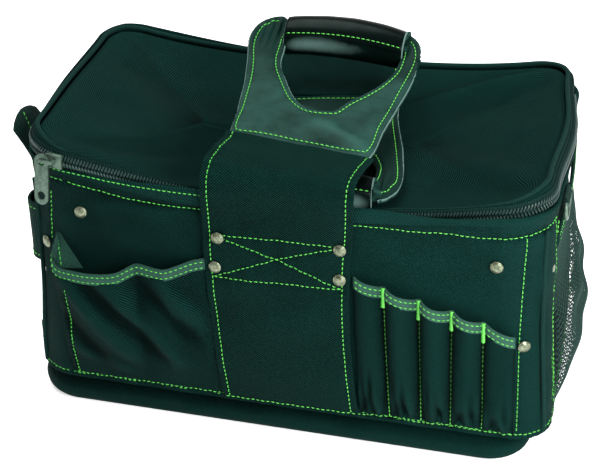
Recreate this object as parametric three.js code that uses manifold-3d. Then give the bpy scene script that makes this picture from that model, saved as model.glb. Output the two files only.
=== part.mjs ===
// A box-shaped tool bag of padded cloth: a hollow body on a stiff base, a sagging zipped lid,
// two strap handles with leatherette yokes and rolled grips, and pockets on the front and side.
// Millimetres, +Z up. The front faces -Y, and the origin is the middle of the base's underside.
import * as THREE from 'three';
import Module from 'manifold-3d';
import { mergeVertices } from 'three/addons/utils/BufferGeometryUtils.js';

const wasm = await Module();
wasm.setup();

// Driving sizes
const GAP = 0.3;
const WALL = 3;
const HEM_HEIGHT = 26;
const SAG_START = 196;
const ZIP_HEIGHT = 225;
const RIM_HEIGHT = 235;
const FRONT_SAG = 16;
const BACK_SAG = 15;
const SAG_HALF_WIDTH = 194;
const LEFT_RISE = { front: 10, back: 5, startX: 40, endX: 190 };
const FRONT_DIP = {
  depth: 9, inset: 7.5, startX: 10, fullX: 60, fadeX: 90, endX: 205, frontY: -110, backY: 0,
};
const BLEND_HALF_DEPTH = 110;
const LID_FRONT_SAG = 32;
const LID_BACK_SAG = 17;
const LID_DIP = 7;
const LID_SLACK_INSET = 60;
const LID_PAD = 5;
const CLOTH = 1.6;
const STRAP = 2;
const FRONT_STRAP_LIFT = 2.2;
const REAR_STRAP_LIFT = 0.3;
const LEATHERETTE = 2.4;
const SMALLEST_CORNER = 4;

// Steps of the faceted shapes
const ROUND_STEPS = { face: 10, side: 6, corner: 4 };
const STATION_STEP = 0.01;
const CORD_SIDES = 6;
const WIRE_SIDES = 8;
const RIVET_SIDES = 12;
const SPINE_SAMPLES = 400;
const EDGE_PARTS = [0, 1];
const EDGE_AND_MIDDLE_PARTS = [0, 0.5, 1];

// The bag stands slightly skewed: its plan shifts to the left towards the back
const SKEW = 0.033;
const SKEW_START = -122;

// The four faces, as quarter turns from the front
const FRONT = 0;
const RIGHT = 1;
const BACK = 2;
const LEFT = 3;

// Outer size of the walls at each height, with how far the faces bow out
const BODY = [
  { z: 26, halfWidth: 204, halfDepth: 120, corner: 30, frontBow: 1, rightBow: 1, leftBow: 1 },
  { z: 60, halfWidth: 204, halfDepth: 121.5, corner: 31, frontBow: 3, rightBow: 1, leftBow: 2 },
  { z: 120, halfWidth: 203, halfDepth: 122, corner: 32, frontBow: 3.5, rightBow: 1, leftBow: 3 },
  { z: 170, halfWidth: 203, halfDepth: 121.5, corner: 35, frontBow: 2.5, rightBow: 1, leftBow: 4 },
  { z: 202, halfWidth: 204, halfDepth: 121, corner: 38, frontBow: 1.5, rightBow: 3, leftBow: 4 },
  { z: 219, halfWidth: 206, halfDepth: 122.4, corner: 39, frontBow: 0.5, rightBow: 5.5, leftBow: 2.5 },
  { z: 240, halfWidth: 206, halfDepth: 122.6, corner: 39, frontBow: 0, rightBow: 6, leftBow: 2 },
];
const WALL_LEVELS = [26, 45, 75, 120, 165, 202, 217.5];

// The base, from its underside out, up to its rim and back down inside to the floor
const BASE_CORNER = 34;
const BASE_PROFILE = [
  { inset: 4.6, z: 0 },
  { inset: 0.6, z: 2.2 },
  { inset: -1.8, z: 7 },
  { inset: -1.4, z: 18 },
  { inset: 1.4, z: 23 },
  { inset: 4, z: 25.5 },
  { inset: WALL + GAP + 1.6, z: 29 },
  { inset: WALL + GAP, z: 33 },
  { inset: WALL + GAP, z: 40 },
  { inset: WALL + GAP + 2, z: 40 },
  { inset: 6.6, z: 27 },
  { inset: 2.4, z: 9 },
  { inset: 6.4, z: 3 },
];

// The closing rows above the walls, set in from the outline at the rim
const TAPE = { lowInset: 3.7, lowZ: 218, highInset: 4.1, highZ: 232, thick: 1.2 };
const CHAIN_WIDTH = 10;
const CHAIN_HEIGHT = 2.4;
const CHAIN_SLOPE = 0.8;
const ZIP_START = 6.1;
const ZIP_END = 2.9;
const HINGE_GAP = 0.005;
const BAND = [
  { inset: 5.7, z: 233.4, lid: 0 },
  { inset: 6.9, z: 235.4, lid: 1 },
  { inset: 6.9, z: 232.4, lid: 1 },
  { inset: 5.7, z: 230.4, lid: 0 },
];
const PIPING_INSET = 8.8;
const PIPING_Z = 236.4;
const PIPING_RADIUS = 1.9;
const LID_INSETS = [11.2, 20, 36, 56, 82, 108];

// Handles: the middle line of each strap from the wall's top to the grip, with its twist in degrees
const FRONT_SPINE = [
  { x: 0, y: -127, z: 206, roll: 0 },
  { x: 0.5, y: -128, z: 226, roll: 0 },
  { x: 1.5, y: -122, z: 238, roll: 1 },
  { x: 4, y: -103, z: 241, roll: 3 },
  { x: 7, y: -78, z: 239, roll: 4 },
  { x: 9, y: -30, z: 244.5, roll: 3 },
  { x: 11, y: 20, z: 252, roll: 3 },
  { x: 12, y: 66, z: 260.5, roll: 3 },
];
const REAR_SPINE = [
  { x: -8, y: 124.5, z: 204, roll: 0 },
  { x: -8, y: 127, z: 218, roll: 0 },
  { x: -7.5, y: 119, z: 228, roll: 0 },
  { x: -6, y: 98, z: 226, roll: 0 },
  { x: 0, y: 45, z: 219, roll: 0 },
  { x: 7, y: -4, z: 215, roll: 0 },
  { x: 14, y: -52, z: 215, roll: 0 },
  { x: 18, y: -99, z: 218.6, roll: 0 },
];
const SPINE_SEAM_ROW = 4;
const STRAP_ROWS = [
  { z: 28, middle: 5, half: 53 },
  { z: 90, middle: 0, half: 54 },
  { z: 160, middle: -2, half: 56 },
  { z: 206, middle: 0, half: 58 },
];
const STRAP_LEVELS = [28, 60, 95, 130, 165, 192];
const STRAP_SPINE_PARTS = [0.12, 0.24, 0.33, 0.42, 0.5, 0.58, 0.68, 0.84, 1];
const STRAP_TOP_HALF = 58;
const STRAP_COLUMNS = 6;

// The yoke: spokes from the hand hole's edge to the outer edge, right half from the seam up
const YOKE_SPOKES = [
  { holeS: 0, holeT: 50, rimS: 0, rimT: 0.6 },
  { holeS: 15, holeT: 52, rimS: 30, rimT: 0.6 },
  { holeS: 26, holeT: 60, rimS: 57, rimT: 0.6 },
  { holeS: 35, holeT: 74, rimS: 59, rimT: 35 },
  { holeS: 43, holeT: 92, rimS: 64, rimT: 70 },
  { holeS: 48, holeT: 110, rimS: 68, rimT: 100 },
  { holeS: 49.6, holeT: 122, rimS: 69.5, rimT: 122 },
  { holeS: 49.6, holeT: 131, rimS: 68, rimT: 138 },
  { holeS: 49.5, holeT: 136, rimS: 63, rimT: 150 },
  { holeS: 49.4, holeT: 139, rimS: 55.5, rimT: 157 },
  { holeS: 49.2, holeT: 140, rimS: 49.2, rimT: 148 },
  { holeS: 30, holeT: 140, rimS: 30, rimT: 148 },
  { holeS: 0, holeT: 140, rimS: 0, rimT: 148 },
];
const GRIP = { half: 48.5, along: 16.5, normal: 14.5, middle: 144, steps: 12 };
const GRIP_SLOT = { along: 4.6, normal: 1.7, round: 0.4 };
const GRIP_ROWS = [
  { part: -1, swell: 0.93 },
  { part: -0.5, swell: 1 },
  { part: 0.5, swell: 1 },
  { part: 1, swell: 0.93 },
];

// Left pocket: where its sheet stands off the wall along its mouth, from the left corner to the strap
const LEFT_POCKET = [
  { x: -184, footX: -172, top: 166, out: 1.4 },
  { x: -187, footX: -171.5, top: 156, out: 9 },
  { x: -184, footX: -170, top: 150, out: 16 },
  { x: -174, footX: -164, top: 147, out: 20 },
  { x: -158, footX: -150, top: 145, out: 23 },
  { x: -138, footX: -132, top: 144, out: 22 },
  { x: -124, footX: -120, top: 147, out: 13 },
  { x: -113, footX: -109, top: 150, out: 8 },
  { x: -102, footX: -98, top: 149, out: 11 },
  { x: -90, footX: -85, top: 149, out: 12 },
  { x: -77, footX: -70, top: 153, out: 6 },
  { x: -67, footX: -60, top: 156, out: 2 },
  { x: -60, footX: -54, top: 156, out: 0 },
  { x: -52, footX: -46, top: 156, out: 0 },
];
const POCKET_FOOT = 29;
const POCKET_RISE = [0, 0.2, 0.45, 0.7, 1];
const BINDING_HEIGHT = 9;
const BINDING_THICK = 2.4;

// Tool slots: the bar tacks between them at the mouth and the foot, from the strap to the right
const SLOT_TACKS = [
  { mouthX: 57, footX: 60, top: 158 },
  { mouthX: 80, footX: 83, top: 151 },
  { mouthX: 107, footX: 107.5, top: 143 },
  { mouthX: 132, footX: 130, top: 136 },
  { mouthX: 156, footX: 154, top: 128.5 },
  { mouthX: 180, footX: 178, top: 117 },
];
const SLOT_STEPS = 5;
const SLOT_MOUTH_BULGE = 12;
const SLOT_FOOT_BULGE = 5;
const SLOT_ROUND = 0.8;

// Net pocket on the right side, along the side from front to back
const NET = { front: -86, back: 92, foot: 40, top: 188, hem: 10, steps: 14 };
const NET_BELLY = {
  bulge: 22, mouth: 2, sink: 0.65, slope: 0.5, round: 0.7, arch: 0.6, closing: 0.45, closed: 0.95,
};
const NET_LEVELS = [0, 0.15, 0.35, 0.6, 0.8, 1];

// Small fittings
const RIVET_RADIUS = 4.9;
const RIVET_HEIGHT = 2.2;
const RIVET_PROFILE = [
  { r: 0, h: 0 },
  { r: 1, h: 0 },
  { r: 1, h: 0.35 },
  { r: 0.72, h: 0.8 },
  { r: 0, h: 1 },
];
const STRAP_RIVETS = [
  { x: -47, z: 178 },
  { x: -50, z: 152 },
  { x: 47.5, z: 178 },
  { x: 47, z: 152 },
];
const WALL_RIVETS = [
  { name: 'rivet_upper_left', face: FRONT, along: -157, z: 188 },
  { name: 'rivet_pocket_corner', face: FRONT, along: -190, z: 154 },
  { name: 'rivet_upper_right', face: FRONT, along: 164, z: 177 },
  { name: 'rivet_slot_end', face: FRONT, along: 186, z: 108 },
  { name: 'rivet_side', face: RIGHT, along: -95, z: 164 },
];
const CORNER_PIPING_RADIUS = 1.7;
const CORNER_PIPING_LEVELS = [31, 60, 90, 120, 150, 180, 200];
const CORNER_PIPING_STATIONS = [
  { name: 'corner_piping_front_right', station: 1.62 },
  { name: 'corner_piping_back_right', station: 3.38 },
  { name: 'corner_piping_back_left', station: 5.62 },
  { name: 'corner_piping_front_left', station: 7.38 },
];
const RING = {
  along: -72, z: 213, out: 4.9, halfWidth: 14, shoulder: 2, drop: 14, round: 0.8, wire: 1.6, steps: 12,
};
const RING_BAR_PARTS = [-0.9, -0.3, 0.3, 0.9];
const RING_TAB = { half: 10, top: 218.5, thick: 1.5, loop: 2.1, steps: 8 };
const LEFT_TAB = { front: 86, back: 46, thick: 3.2, taper: 0.3 };
const LEFT_TAB_ROWS = [
  { out: 0.6, z: 202, lean: 0 },
  { out: 0.6, z: 212, lean: 0 },
  { out: 5, z: 224, lean: 0.6 },
  { out: 13.5, z: 240, lean: 0.6 },
];
const LOOP_LIFT = 0.6;
const LOOP_ROWS = [
  { part: 0, out: 0 },
  { part: 0.12, out: 0.62 },
  { part: 0.3, out: 0.94 },
  { part: 0.5, out: 1 },
  { part: 0.7, out: 0.94 },
  { part: 0.88, out: 0.62 },
  { part: 1, out: 0 },
];
const HAMMER_LOOP = { from: 50, to: 82, low: 112, high: 165, bulge: 15, thick: 2.2, foot: 7 };
const KEEPER_LOOP = { from: 60, to: 84, low: 28, high: 43, bulge: 8, thick: 1.8, foot: 4 };

// Zip slider at the front left corner, and its hanging pull
const SLIDER_STATION = 7.86;
const SLIDER = { length: 17, width: 11.5, nose: 6, thick: 2.6 };
const BRIDGE = { left: -6.6, right: 3, top: 8.8, wire: 2.2, lean: 10 };
const PULL = {
  width: 12, length: 41, thick: 1.8, eye: 3, rise: 5.2, drop: 1.2, hole: 3.4, holeRise: 7.4, steps: 8,
};

// Colours, roughness and metalness
const DARK_CLOTH = { color: 0x12302c, roughness: 0.85, metalness: 0 };
const SMOOTH_LEATHERETTE = { color: 0x2c4a42, roughness: 0.45, metalness: 0 };
const GREY_TAPE = { color: 0x5f7d78, roughness: 0.8, metalness: 0 };
const BLACK_WEBBING = { color: 0x0f1f1c, roughness: 0.9, metalness: 0 };
const NET_CLOTH = { color: 0x2a3a37, roughness: 0.9, metalness: 0 };
const ZIP_NYLON = { color: 0x1c2f2e, roughness: 0.5, metalness: 0 };
const GREY_METAL = { color: 0x8fa595, roughness: 0.4, metalness: 0.9 };
const RIVET_METAL = { color: 0xa7a58c, roughness: 0.35, metalness: 0.95 };

const bag = new THREE.Group();
const lerp = THREE.MathUtils.lerp;
const smooth = THREE.MathUtils.smoothstep;
const degrees = THREE.MathUtils.degToRad;

function addPiece(name, finish, geometry) {
  const mesh = new THREE.Mesh(geometry, new THREE.MeshStandardMaterial(finish));
  mesh.name = name;
  bag.add(mesh);
  return mesh;
}

/** A column of a table at a place between its rows, on a smooth curve through them. */
function tableAt(rows, key, place, column) {
  const last = rows.length - 1;
  const held = Math.min(Math.max(place, rows[0][key]), rows[last][key]);
  let i = 0;
  while (i < last - 1 && rows[i + 1][key] <= held) i += 1;
  const slope = (k) => {
    const a = rows[Math.max(k - 1, 0)];
    const b = rows[Math.min(k + 1, last)];
    return (b[column] - a[column]) / (b[key] - a[key]);
  };
  const span = rows[i + 1][key] - rows[i][key];
  const t = (held - rows[i][key]) / span;
  const start = rows[i][column];
  const end = rows[i + 1][column];
  const bend = t * (1 - t) * span * ((1 - t) * slope(i) - t * slope(i + 1));
  const ease = t * t * (3 - 2 * t);
  return lerp(start, end, ease) + bend;
}

function bodySize(z) {
  const size = {};
  for (const column of ['halfWidth', 'halfDepth', 'corner', 'frontBow', 'rightBow', 'leftBow']) {
    size[column] = tableAt(BODY, 'z', z, column);
  }
  return size;
}

const hump = (part) => 0.5 - 0.5 * Math.cos(2 * Math.PI * part);

function quarterTurn(x, y, face) {
  const turns = [[x, y], [-y, x], [-x, -y], [y, -x]];
  return turns[face];
}

const skewed = ([x, y]) => [x - SKEW * (y - SKEW_START), y];

/** A face's own half length, half depth and bow. */
function faceSize(size, face) {
  const lengthwise = face % 2 === 0;
  return {
    along: lengthwise ? size.halfWidth : size.halfDepth,
    across: lengthwise ? size.halfDepth : size.halfWidth,
    bow: [size.frontBow, size.rightBow, size.frontBow, size.leftBow][face],
  };
}

/** Plan point of the rounded outline. Even stations start faces, odd ones start corners. */
function outlinePoint(size, station, inset) {
  const face = Math.floor(station / 2) % 4;
  const part = station % 2;
  const r = Math.max(size.corner - inset, SMALLEST_CORNER);
  const own = faceSize(size, face);
  const along = own.along - inset - r;
  const across = own.across - inset - r;
  if (part < 1) {
    return skewed(quarterTurn(lerp(-along, along, part), -across - r - own.bow * hump(part), face));
  }
  const turn = (part - 2) * Math.PI / 2;
  return skewed(quarterTurn(along + r * Math.cos(turn), -across + r * Math.sin(turn), face));
}

const towardsBack = (y) => smooth(y, -BLEND_HALF_DEPTH, BLEND_HALF_DEPTH);

/** How far the left end of the rim stands up, more at the front than at the back. */
function leftRise(x, y) {
  const height = lerp(LEFT_RISE.front, LEFT_RISE.back, towardsBack(y));
  return height * smooth(-x, LEFT_RISE.startX, LEFT_RISE.endX);
}

/** How far the rim sags at a plan point: most in the middle of the front and back. */
function rimDrop(x, y) {
  const depth = lerp(FRONT_SAG, BACK_SAG, towardsBack(y));
  return depth * Math.max(0, 1 - (x / SAG_HALF_WIDTH) ** 2) - leftRise(x, y);
}

/** The lid's own edge sags further than the zip, and more evenly along the front. */
function lidDrop(x, y) {
  const depth = lerp(LID_FRONT_SAG, LID_BACK_SAG, towardsBack(y));
  return depth * Math.max(0, 1 - Math.abs(x / SAG_HALF_WIDTH) ** 3) - leftRise(x, y);
}

/** From 0 to 1 where the zip dips behind the wall's edge, right of the front strap. */
function zipDip(x, y) {
  const { startX, fullX, fadeX, endX, frontY, backY } = FRONT_DIP;
  return smooth(x, startX, fullX) * (1 - smooth(x, fadeX, endX)) * (1 - smooth(y, frontY, backY));
}

/** Plan point of a closing row, set further in where the zip dips, and how far it dips there. */
function closingPoint(size, station, inset) {
  const share = zipDip(...outlinePoint(size, station, inset));
  const [x, y] = outlinePoint(size, station, inset + FRONT_DIP.inset * share);
  return { x, y, dip: FRONT_DIP.depth * share };
}

function sagged(x, y, z) {
  const share = smooth(z, SAG_START, ZIP_HEIGHT);
  return new THREE.Vector3(x, y, z - rimDrop(x, y) * share);
}

function wallPoint(station, z, offset) {
  const [x, y] = outlinePoint(bodySize(z), station, -offset);
  return sagged(x, y, z);
}

/** A point on one face by its distance along the face, carried round onto the corners. */
function facePoint(face, along, z, offset) {
  const size = bodySize(z);
  const own = faceSize(size, face);
  const flat = own.along - size.corner;
  const r = size.corner + offset;
  const over = Math.abs(along) - flat;
  let depth = own.across + offset + own.bow * hump((along + flat) / (2 * flat));
  if (over > 0) {
    depth = own.across - size.corner + Math.sqrt(Math.max(r * r - over * over, 0));
  }
  const [x, y] = skewed(quarterTurn(along, -depth, face));
  return sagged(x, y, z);
}

/** Stations round the whole outline, starting in the middle of the left side. */
function roundStations() {
  const stations = [];
  for (let station = 6; station < 14; station += 1) {
    const whole = station % 8;
    const side = whole % 4 === 2;
    const flat = side ? ROUND_STEPS.side : ROUND_STEPS.face;
    const steps = whole % 2 === 1 ? ROUND_STEPS.corner : flat;
    for (let i = 0; i < steps; i += 1) stations.push(whole + i / steps);
  }
  const half = ROUND_STEPS.side / 2;
  return [...stations.slice(half), ...stations.slice(0, half)];
}

/** A closed solid through rings of points, joined end to end or capped at both ends. */
function loft(rings, closed) {
  const size = rings[0].length;
  const positions = rings.flat().flatMap((p) => [p.x, p.y, p.z]);
  const index = [];
  const quad = (a, b, c, d) => index.push(a, b, c, a, c, d);
  const spans = closed ? rings.length : rings.length - 1;
  for (let i = 0; i < spans; i += 1) {
    const low = i * size;
    const high = ((i + 1) % rings.length) * size;
    for (let j = 0; j < size; j += 1) {
      const k = (j + 1) % size;
      quad(low + j, low + k, high + k, high + j);
    }
  }
  if (!closed) {
    const end = (rings.length - 1) * size;
    for (let j = 0; j < size / 2 - 1; j += 1) {
      quad(j, size - 1 - j, size - 2 - j, j + 1);
      quad(end + j, end + j + 1, end + size - 2 - j, end + size - 1 - j);
    }
  }
  const geometry = new THREE.BufferGeometry();
  geometry.setAttribute('position', new THREE.Float32BufferAttribute(positions, 3));
  geometry.setIndex(index);
  return facingOut(geometry);
}

function facingOut(geometry) {
  const p = geometry.attributes.position;
  const index = geometry.index.array;
  const corners = [0, 1, 2].map(() => new THREE.Vector3());
  let volume = 0;
  for (let i = 0; i < index.length; i += 3) {
    corners.forEach((corner, k) => corner.fromBufferAttribute(p, index[i + k]));
    volume += corners[0].dot(corners[1].cross(corners[2]));
  }
  if (volume < 0) {
    for (let i = 0; i < index.length; i += 3) {
      const swap = index[i];
      index[i] = index[i + 1];
      index[i + 1] = swap;
    }
  }
  return geometry;
}

/** A sheet between an outer and an inner row of points at each step along it. */
function sheet(steps, outerRow, innerRow, closed = false) {
  return loft(steps.map((step) => [...outerRow(step), ...innerRow(step).reverse()]), closed);
}

function range(count) {
  return Array.from({ length: count }, (_, i) => i);
}

/** A round bar along a line of points, open with caps or closed in a loop. */
function bar(points, radius, sides, closed) {
  const count = points.length;
  const rings = points.map((point, i) => {
    const before = points[closed ? (i + count - 1) % count : Math.max(i - 1, 0)];
    const after = points[closed ? (i + 1) % count : Math.min(i + 1, count - 1)];
    const tangent = after.clone().sub(before).normalize();
    const guide = Math.abs(tangent.z) > 0.9 ? new THREE.Vector3(1, 0, 0) : new THREE.Vector3(0, 0, 1);
    const side = guide.clone().cross(tangent).normalize();
    const up = tangent.clone().cross(side);
    return range(sides).map((k) => {
      const turn = (2 * Math.PI * (k + 0.5)) / sides;
      const spoke = side.clone().multiplyScalar(Math.cos(turn)).addScaledVector(up, Math.sin(turn));
      return point.clone().addScaledVector(spoke, radius);
    });
  });
  return loft(rings, closed);
}

// Body walls, open at the top and the bottom, and the base they are sewn round
function addBody() {
  const round = roundStations();
  const outer = WALL_LEVELS.map((z) => round.map((s) => wallPoint(s, z, 0)));
  const inner = WALL_LEVELS.map((z) => round.map((s) => wallPoint(s, z, -WALL)));
  addPiece('body_walls', DARK_CLOTH, loft([...outer, ...inner.reverse()], true));

  const size = { ...bodySize(HEM_HEIGHT), corner: BASE_CORNER, frontBow: 0, rightBow: 0, leftBow: 0 };
  const rings = BASE_PROFILE.map(({ inset, z }) => round.map((s) => {
    if (z > HEM_HEIGHT) return wallPoint(s, z, -inset);
    const [x, y] = outlinePoint(size, s, inset);
    return new THREE.Vector3(x, y, z);
  }));
  addPiece('base_tub', DARK_CLOTH, loft(rings, false));
}

// Lid: the padded panel, the band under its edge and the cord round it
function lidHeight(x, y, inset) {
  const slack = smooth(inset, PIPING_INSET, LID_SLACK_INSET);
  const middle = Math.max(0, 1 - (x / SAG_HALF_WIDTH) ** 2);
  return RIM_HEIGHT - lidDrop(x, y) - LID_DIP * slack * middle;
}

function addLid() {
  const round = roundStations();
  const size = bodySize(RIM_HEIGHT);
  const ring = (inset, lift) => round.map((s) => {
    const { x, y } = closingPoint(size, s, inset);
    return new THREE.Vector3(x, y, lidHeight(x, y, inset) + lift);
  });
  const top = LID_INSETS.map((inset) => ring(inset, 0));
  const under = LID_INSETS.map((inset) => ring(inset, -LID_PAD));
  addPiece('lid_panel', DARK_CLOTH, loft([...under.reverse(), ...top], false));

  const band = BAND.map(({ inset, z, lid }) => round.map((s) => {
    const { x, y, dip } = closingPoint(size, s, inset);
    return new THREE.Vector3(x, y, z - lerp(rimDrop(x, y) + dip, lidDrop(x, y), lid));
  }));
  addPiece('lid_band', DARK_CLOTH, loft(band, true));

  const cord = round.map((s) => {
    const { x, y } = closingPoint(size, s, PIPING_INSET);
    return new THREE.Vector3(x, y, PIPING_Z - lidDrop(x, y));
  });
  addPiece('lid_piping', DARK_CLOTH, bar(cord, PIPING_RADIUS, CORD_SIDES, true));
}

// Zip: an upright tape with the closed chain standing on it, round the left, front and right
function zipFrame(station) {
  const size = bodySize(RIM_HEIGHT);
  const edge = (inset, z) => {
    const { x, y, dip } = closingPoint(size, station, inset);
    const point = sagged(x, y, z);
    point.z -= dip;
    return point;
  };
  const low = edge(TAPE.lowInset, TAPE.lowZ);
  const high = edge(TAPE.highInset, TAPE.highZ);
  const next = closingPoint(size, (station + STATION_STEP) % 8, TAPE.lowInset);
  const ahead = new THREE.Vector3(next.x - low.x, next.y - low.y, 0).normalize();
  const up = high.clone().sub(low);
  const width = up.length();
  up.normalize();
  const out = ahead.clone().cross(up).normalize();
  return { low, up, out, ahead, width };
}

function zipRow(station, heights) {
  const { low, up, out, width } = zipFrame(station);
  const near = (width - CHAIN_WIDTH) / 2;
  const far = (width + CHAIN_WIDTH) / 2;
  const places = [0, near, near + CHAIN_SLOPE, far - CHAIN_SLOPE, far, width];
  return places.map((place, i) => low.clone().addScaledVector(up, place).addScaledVector(out, heights[i]));
}

function addZip() {
  const spread = (start, end, steps) => range(steps).map((i) => start + ((end - start) * i) / steps);
  const stations = [
    ...spread(ZIP_START, 7, ROUND_STEPS.side),
    ...spread(7, 8, ROUND_STEPS.corner),
    ...spread(0, 1, ROUND_STEPS.face),
    ...spread(1, 2, ROUND_STEPS.corner),
    ...spread(2, ZIP_END, ROUND_STEPS.side),
    ZIP_END,
  ];
  const face = [0, 0, CHAIN_HEIGHT, CHAIN_HEIGHT, 0, 0];
  const under = face.map(() => -TAPE.thick);
  addPiece('zip_tape', ZIP_NYLON, sheet(stations, (s) => zipRow(s, face), (s) => zipRow(s, under)));

  const back = [
    ZIP_END + HINGE_GAP,
    ...spread(3, 4, ROUND_STEPS.corner),
    ...spread(4, 5, ROUND_STEPS.face),
    ...spread(5, 6, ROUND_STEPS.corner),
    6,
    ZIP_START - HINGE_GAP,
  ];
  const flat = face.map(() => 0);
  addPiece('lid_hinge', DARK_CLOTH, sheet(back, (s) => zipRow(s, flat), (s) => zipRow(s, under)));
}

// Handles
function makeSpine(rows, across) {
  const points = rows.map(({ x, y, z }) => new THREE.Vector3(x, y, z));
  const curve = new THREE.CatmullRomCurve3(points, false, 'catmullrom', 0.5);
  const length = curve.getLength();
  const last = rows.length - 1;
  const frameAt = (t) => {
    const place = curve.getUtoTmapping(t / length);
    const i = Math.min(Math.floor(place * last), last - 1);
    const roll = lerp(rows[i].roll, rows[i + 1].roll, place * last - i);
    const tangent = curve.getTangent(place);
    const side = new THREE.Vector3(across, 0, 0);
    side.addScaledVector(tangent, -side.dot(tangent)).normalize();
    side.applyAxisAngle(tangent, degrees(roll));
    return { point: curve.getPoint(place), side, normal: side.clone().cross(tangent) };
  };
  const seamPoint = points[SPINE_SEAM_ROW];
  const samples = curve.getSpacedPoints(SPINE_SAMPLES);
  const distances = samples.map((sample) => sample.distanceTo(seamPoint));
  const seam = (distances.indexOf(Math.min(...distances)) / SPINE_SAMPLES) * length;
  return { length, seam, frameAt };
}

function spinePoint(spine, s, t, offset) {
  const held = Math.min(Math.max(t, 0), spine.length);
  const { point, side, normal } = spine.frameAt(held);
  const beyond = t - held;
  const tangent = normal.clone().cross(side);
  return point.addScaledVector(side, s).addScaledVector(normal, offset).addScaledVector(tangent, beyond);
}

function addStrap(name, face, spine, seat) {
  const across = range(STRAP_COLUMNS).map((i) => -1 + (2 * i) / (STRAP_COLUMNS - 1));
  const steps = [
    ...STRAP_LEVELS.map((z) => ({ z })),
    ...STRAP_SPINE_PARTS.map((part) => ({ t: part * (spine.seam - GAP) })),
  ];
  const row = (step, lift) => across.map((s) => {
    if (step.t !== undefined) return spinePoint(spine, s * STRAP_TOP_HALF, step.t, lift - STRAP / 2);
    const middle = tableAt(STRAP_ROWS, 'z', step.z, 'middle') * (face === FRONT ? 1 : 0);
    const half = tableAt(STRAP_ROWS, 'z', step.z, 'half');
    return facePoint(face, middle + s * half, step.z, seat + lift);
  });
  addPiece(name, DARK_CLOTH, sheet(steps, (step) => row(step, STRAP), (step) => row(step, 0)));
}

function addYoke(name, spine) {
  const mirrored = YOKE_SPOKES.slice(1, -1).reverse();
  const left = mirrored.map((spoke) => ({ ...spoke, holeS: -spoke.holeS, rimS: -spoke.rimS }));
  const spokes = [...YOKE_SPOKES, ...left];
  const count = spokes.length;
  const steps = spokes.flatMap((spoke, i) => {
    const next = spokes[(i + 1) % count];
    const half = {};
    for (const column of Object.keys(spoke)) half[column] = (spoke[column] + next[column]) / 2;
    return [spoke, half];
  });
  const row = (spoke, offset) => EDGE_AND_MIDDLE_PARTS.map((part) => {
    const s = lerp(spoke.holeS, spoke.rimS, part);
    const t = lerp(spoke.holeT, spoke.rimT, part);
    return spinePoint(spine, s, spine.seam + t, offset);
  });
  const half = LEATHERETTE / 2;
  addPiece(name, SMOOTH_LEATHERETTE, sheet(steps, (s) => row(s, half), (s) => row(s, -half), true));
}

function addGrip(name, spine) {
  const ring = (part, along, normal) => range(GRIP.steps).map((k) => {
    const turn = (2 * Math.PI * k) / GRIP.steps;
    const t = spine.seam + GRIP.middle + along * Math.cos(turn);
    return spinePoint(spine, part * GRIP.half, t, normal * Math.sin(turn));
  });
  const slot = (part) => range(GRIP.steps).map((k) => {
    const turn = (2 * Math.PI * k) / GRIP.steps;
    const reach = Math.abs(Math.cos(turn)) ** GRIP_SLOT.round;
    const along = GRIP_SLOT.along * Math.sign(Math.cos(turn)) * reach;
    const across = GRIP_SLOT.normal * Math.sign(Math.sin(turn));
    return spinePoint(spine, part * GRIP.half, spine.seam + GRIP.middle + along, across);
  });
  const outer = GRIP_ROWS.map(({ part, swell }) => ring(part, GRIP.along * swell, GRIP.normal * swell));
  const inner = GRIP_ROWS.map(({ part }) => slot(part)).reverse();
  addPiece(name, SMOOTH_LEATHERETTE, loft([...outer, ...inner], true));
}

// Left pocket: its front sheet stands away from the wall at the mouth, and a tape binds the edge
function addLeftPocket() {
  const place = (row, rise, offset) => {
    const top = row.top - BINDING_HEIGHT - GAP;
    const z = lerp(POCKET_FOOT, top, rise);
    const x = lerp(row.footX, row.x, rise);
    const out = row.out * rise * (2 - rise);
    return facePoint(FRONT, x, z, GAP + out + offset);
  };
  const sheetRow = (offset) => (row) => POCKET_RISE.map((rise) => place(row, rise, offset));
  addPiece('left_pocket', DARK_CLOTH, sheet(LEFT_POCKET, sheetRow(CLOTH), sheetRow(0)));

  const bind = (offset) => (row) => EDGE_AND_MIDDLE_PARTS.map((part) => {
    const z = row.top - BINDING_HEIGHT * (1 - part);
    return facePoint(FRONT, row.x, z, GAP + row.out + offset);
  });
  const bound = LEFT_POCKET.slice(0, -1);
  addPiece('left_pocket_binding', GREY_TAPE, sheet(bound, bind(BINDING_THICK), bind(0)));
}

// Tool slots: a row of bulging loops between bar tacks, bound with tape along their sloping mouth
function slotRows() {
  const rows = [];
  for (let i = 0; i < SLOT_TACKS.length - 1; i += 1) {
    for (let k = 0; k < SLOT_STEPS; k += 1) {
      const part = k / SLOT_STEPS;
      const row = { bulge: Math.sin(Math.PI * part) ** SLOT_ROUND };
      for (const column of ['mouthX', 'footX', 'top']) {
        row[column] = lerp(SLOT_TACKS[i][column], SLOT_TACKS[i + 1][column], part);
      }
      rows.push(row);
    }
  }
  rows.push({ ...SLOT_TACKS.at(-1), bulge: 0 });
  return rows;
}

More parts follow.
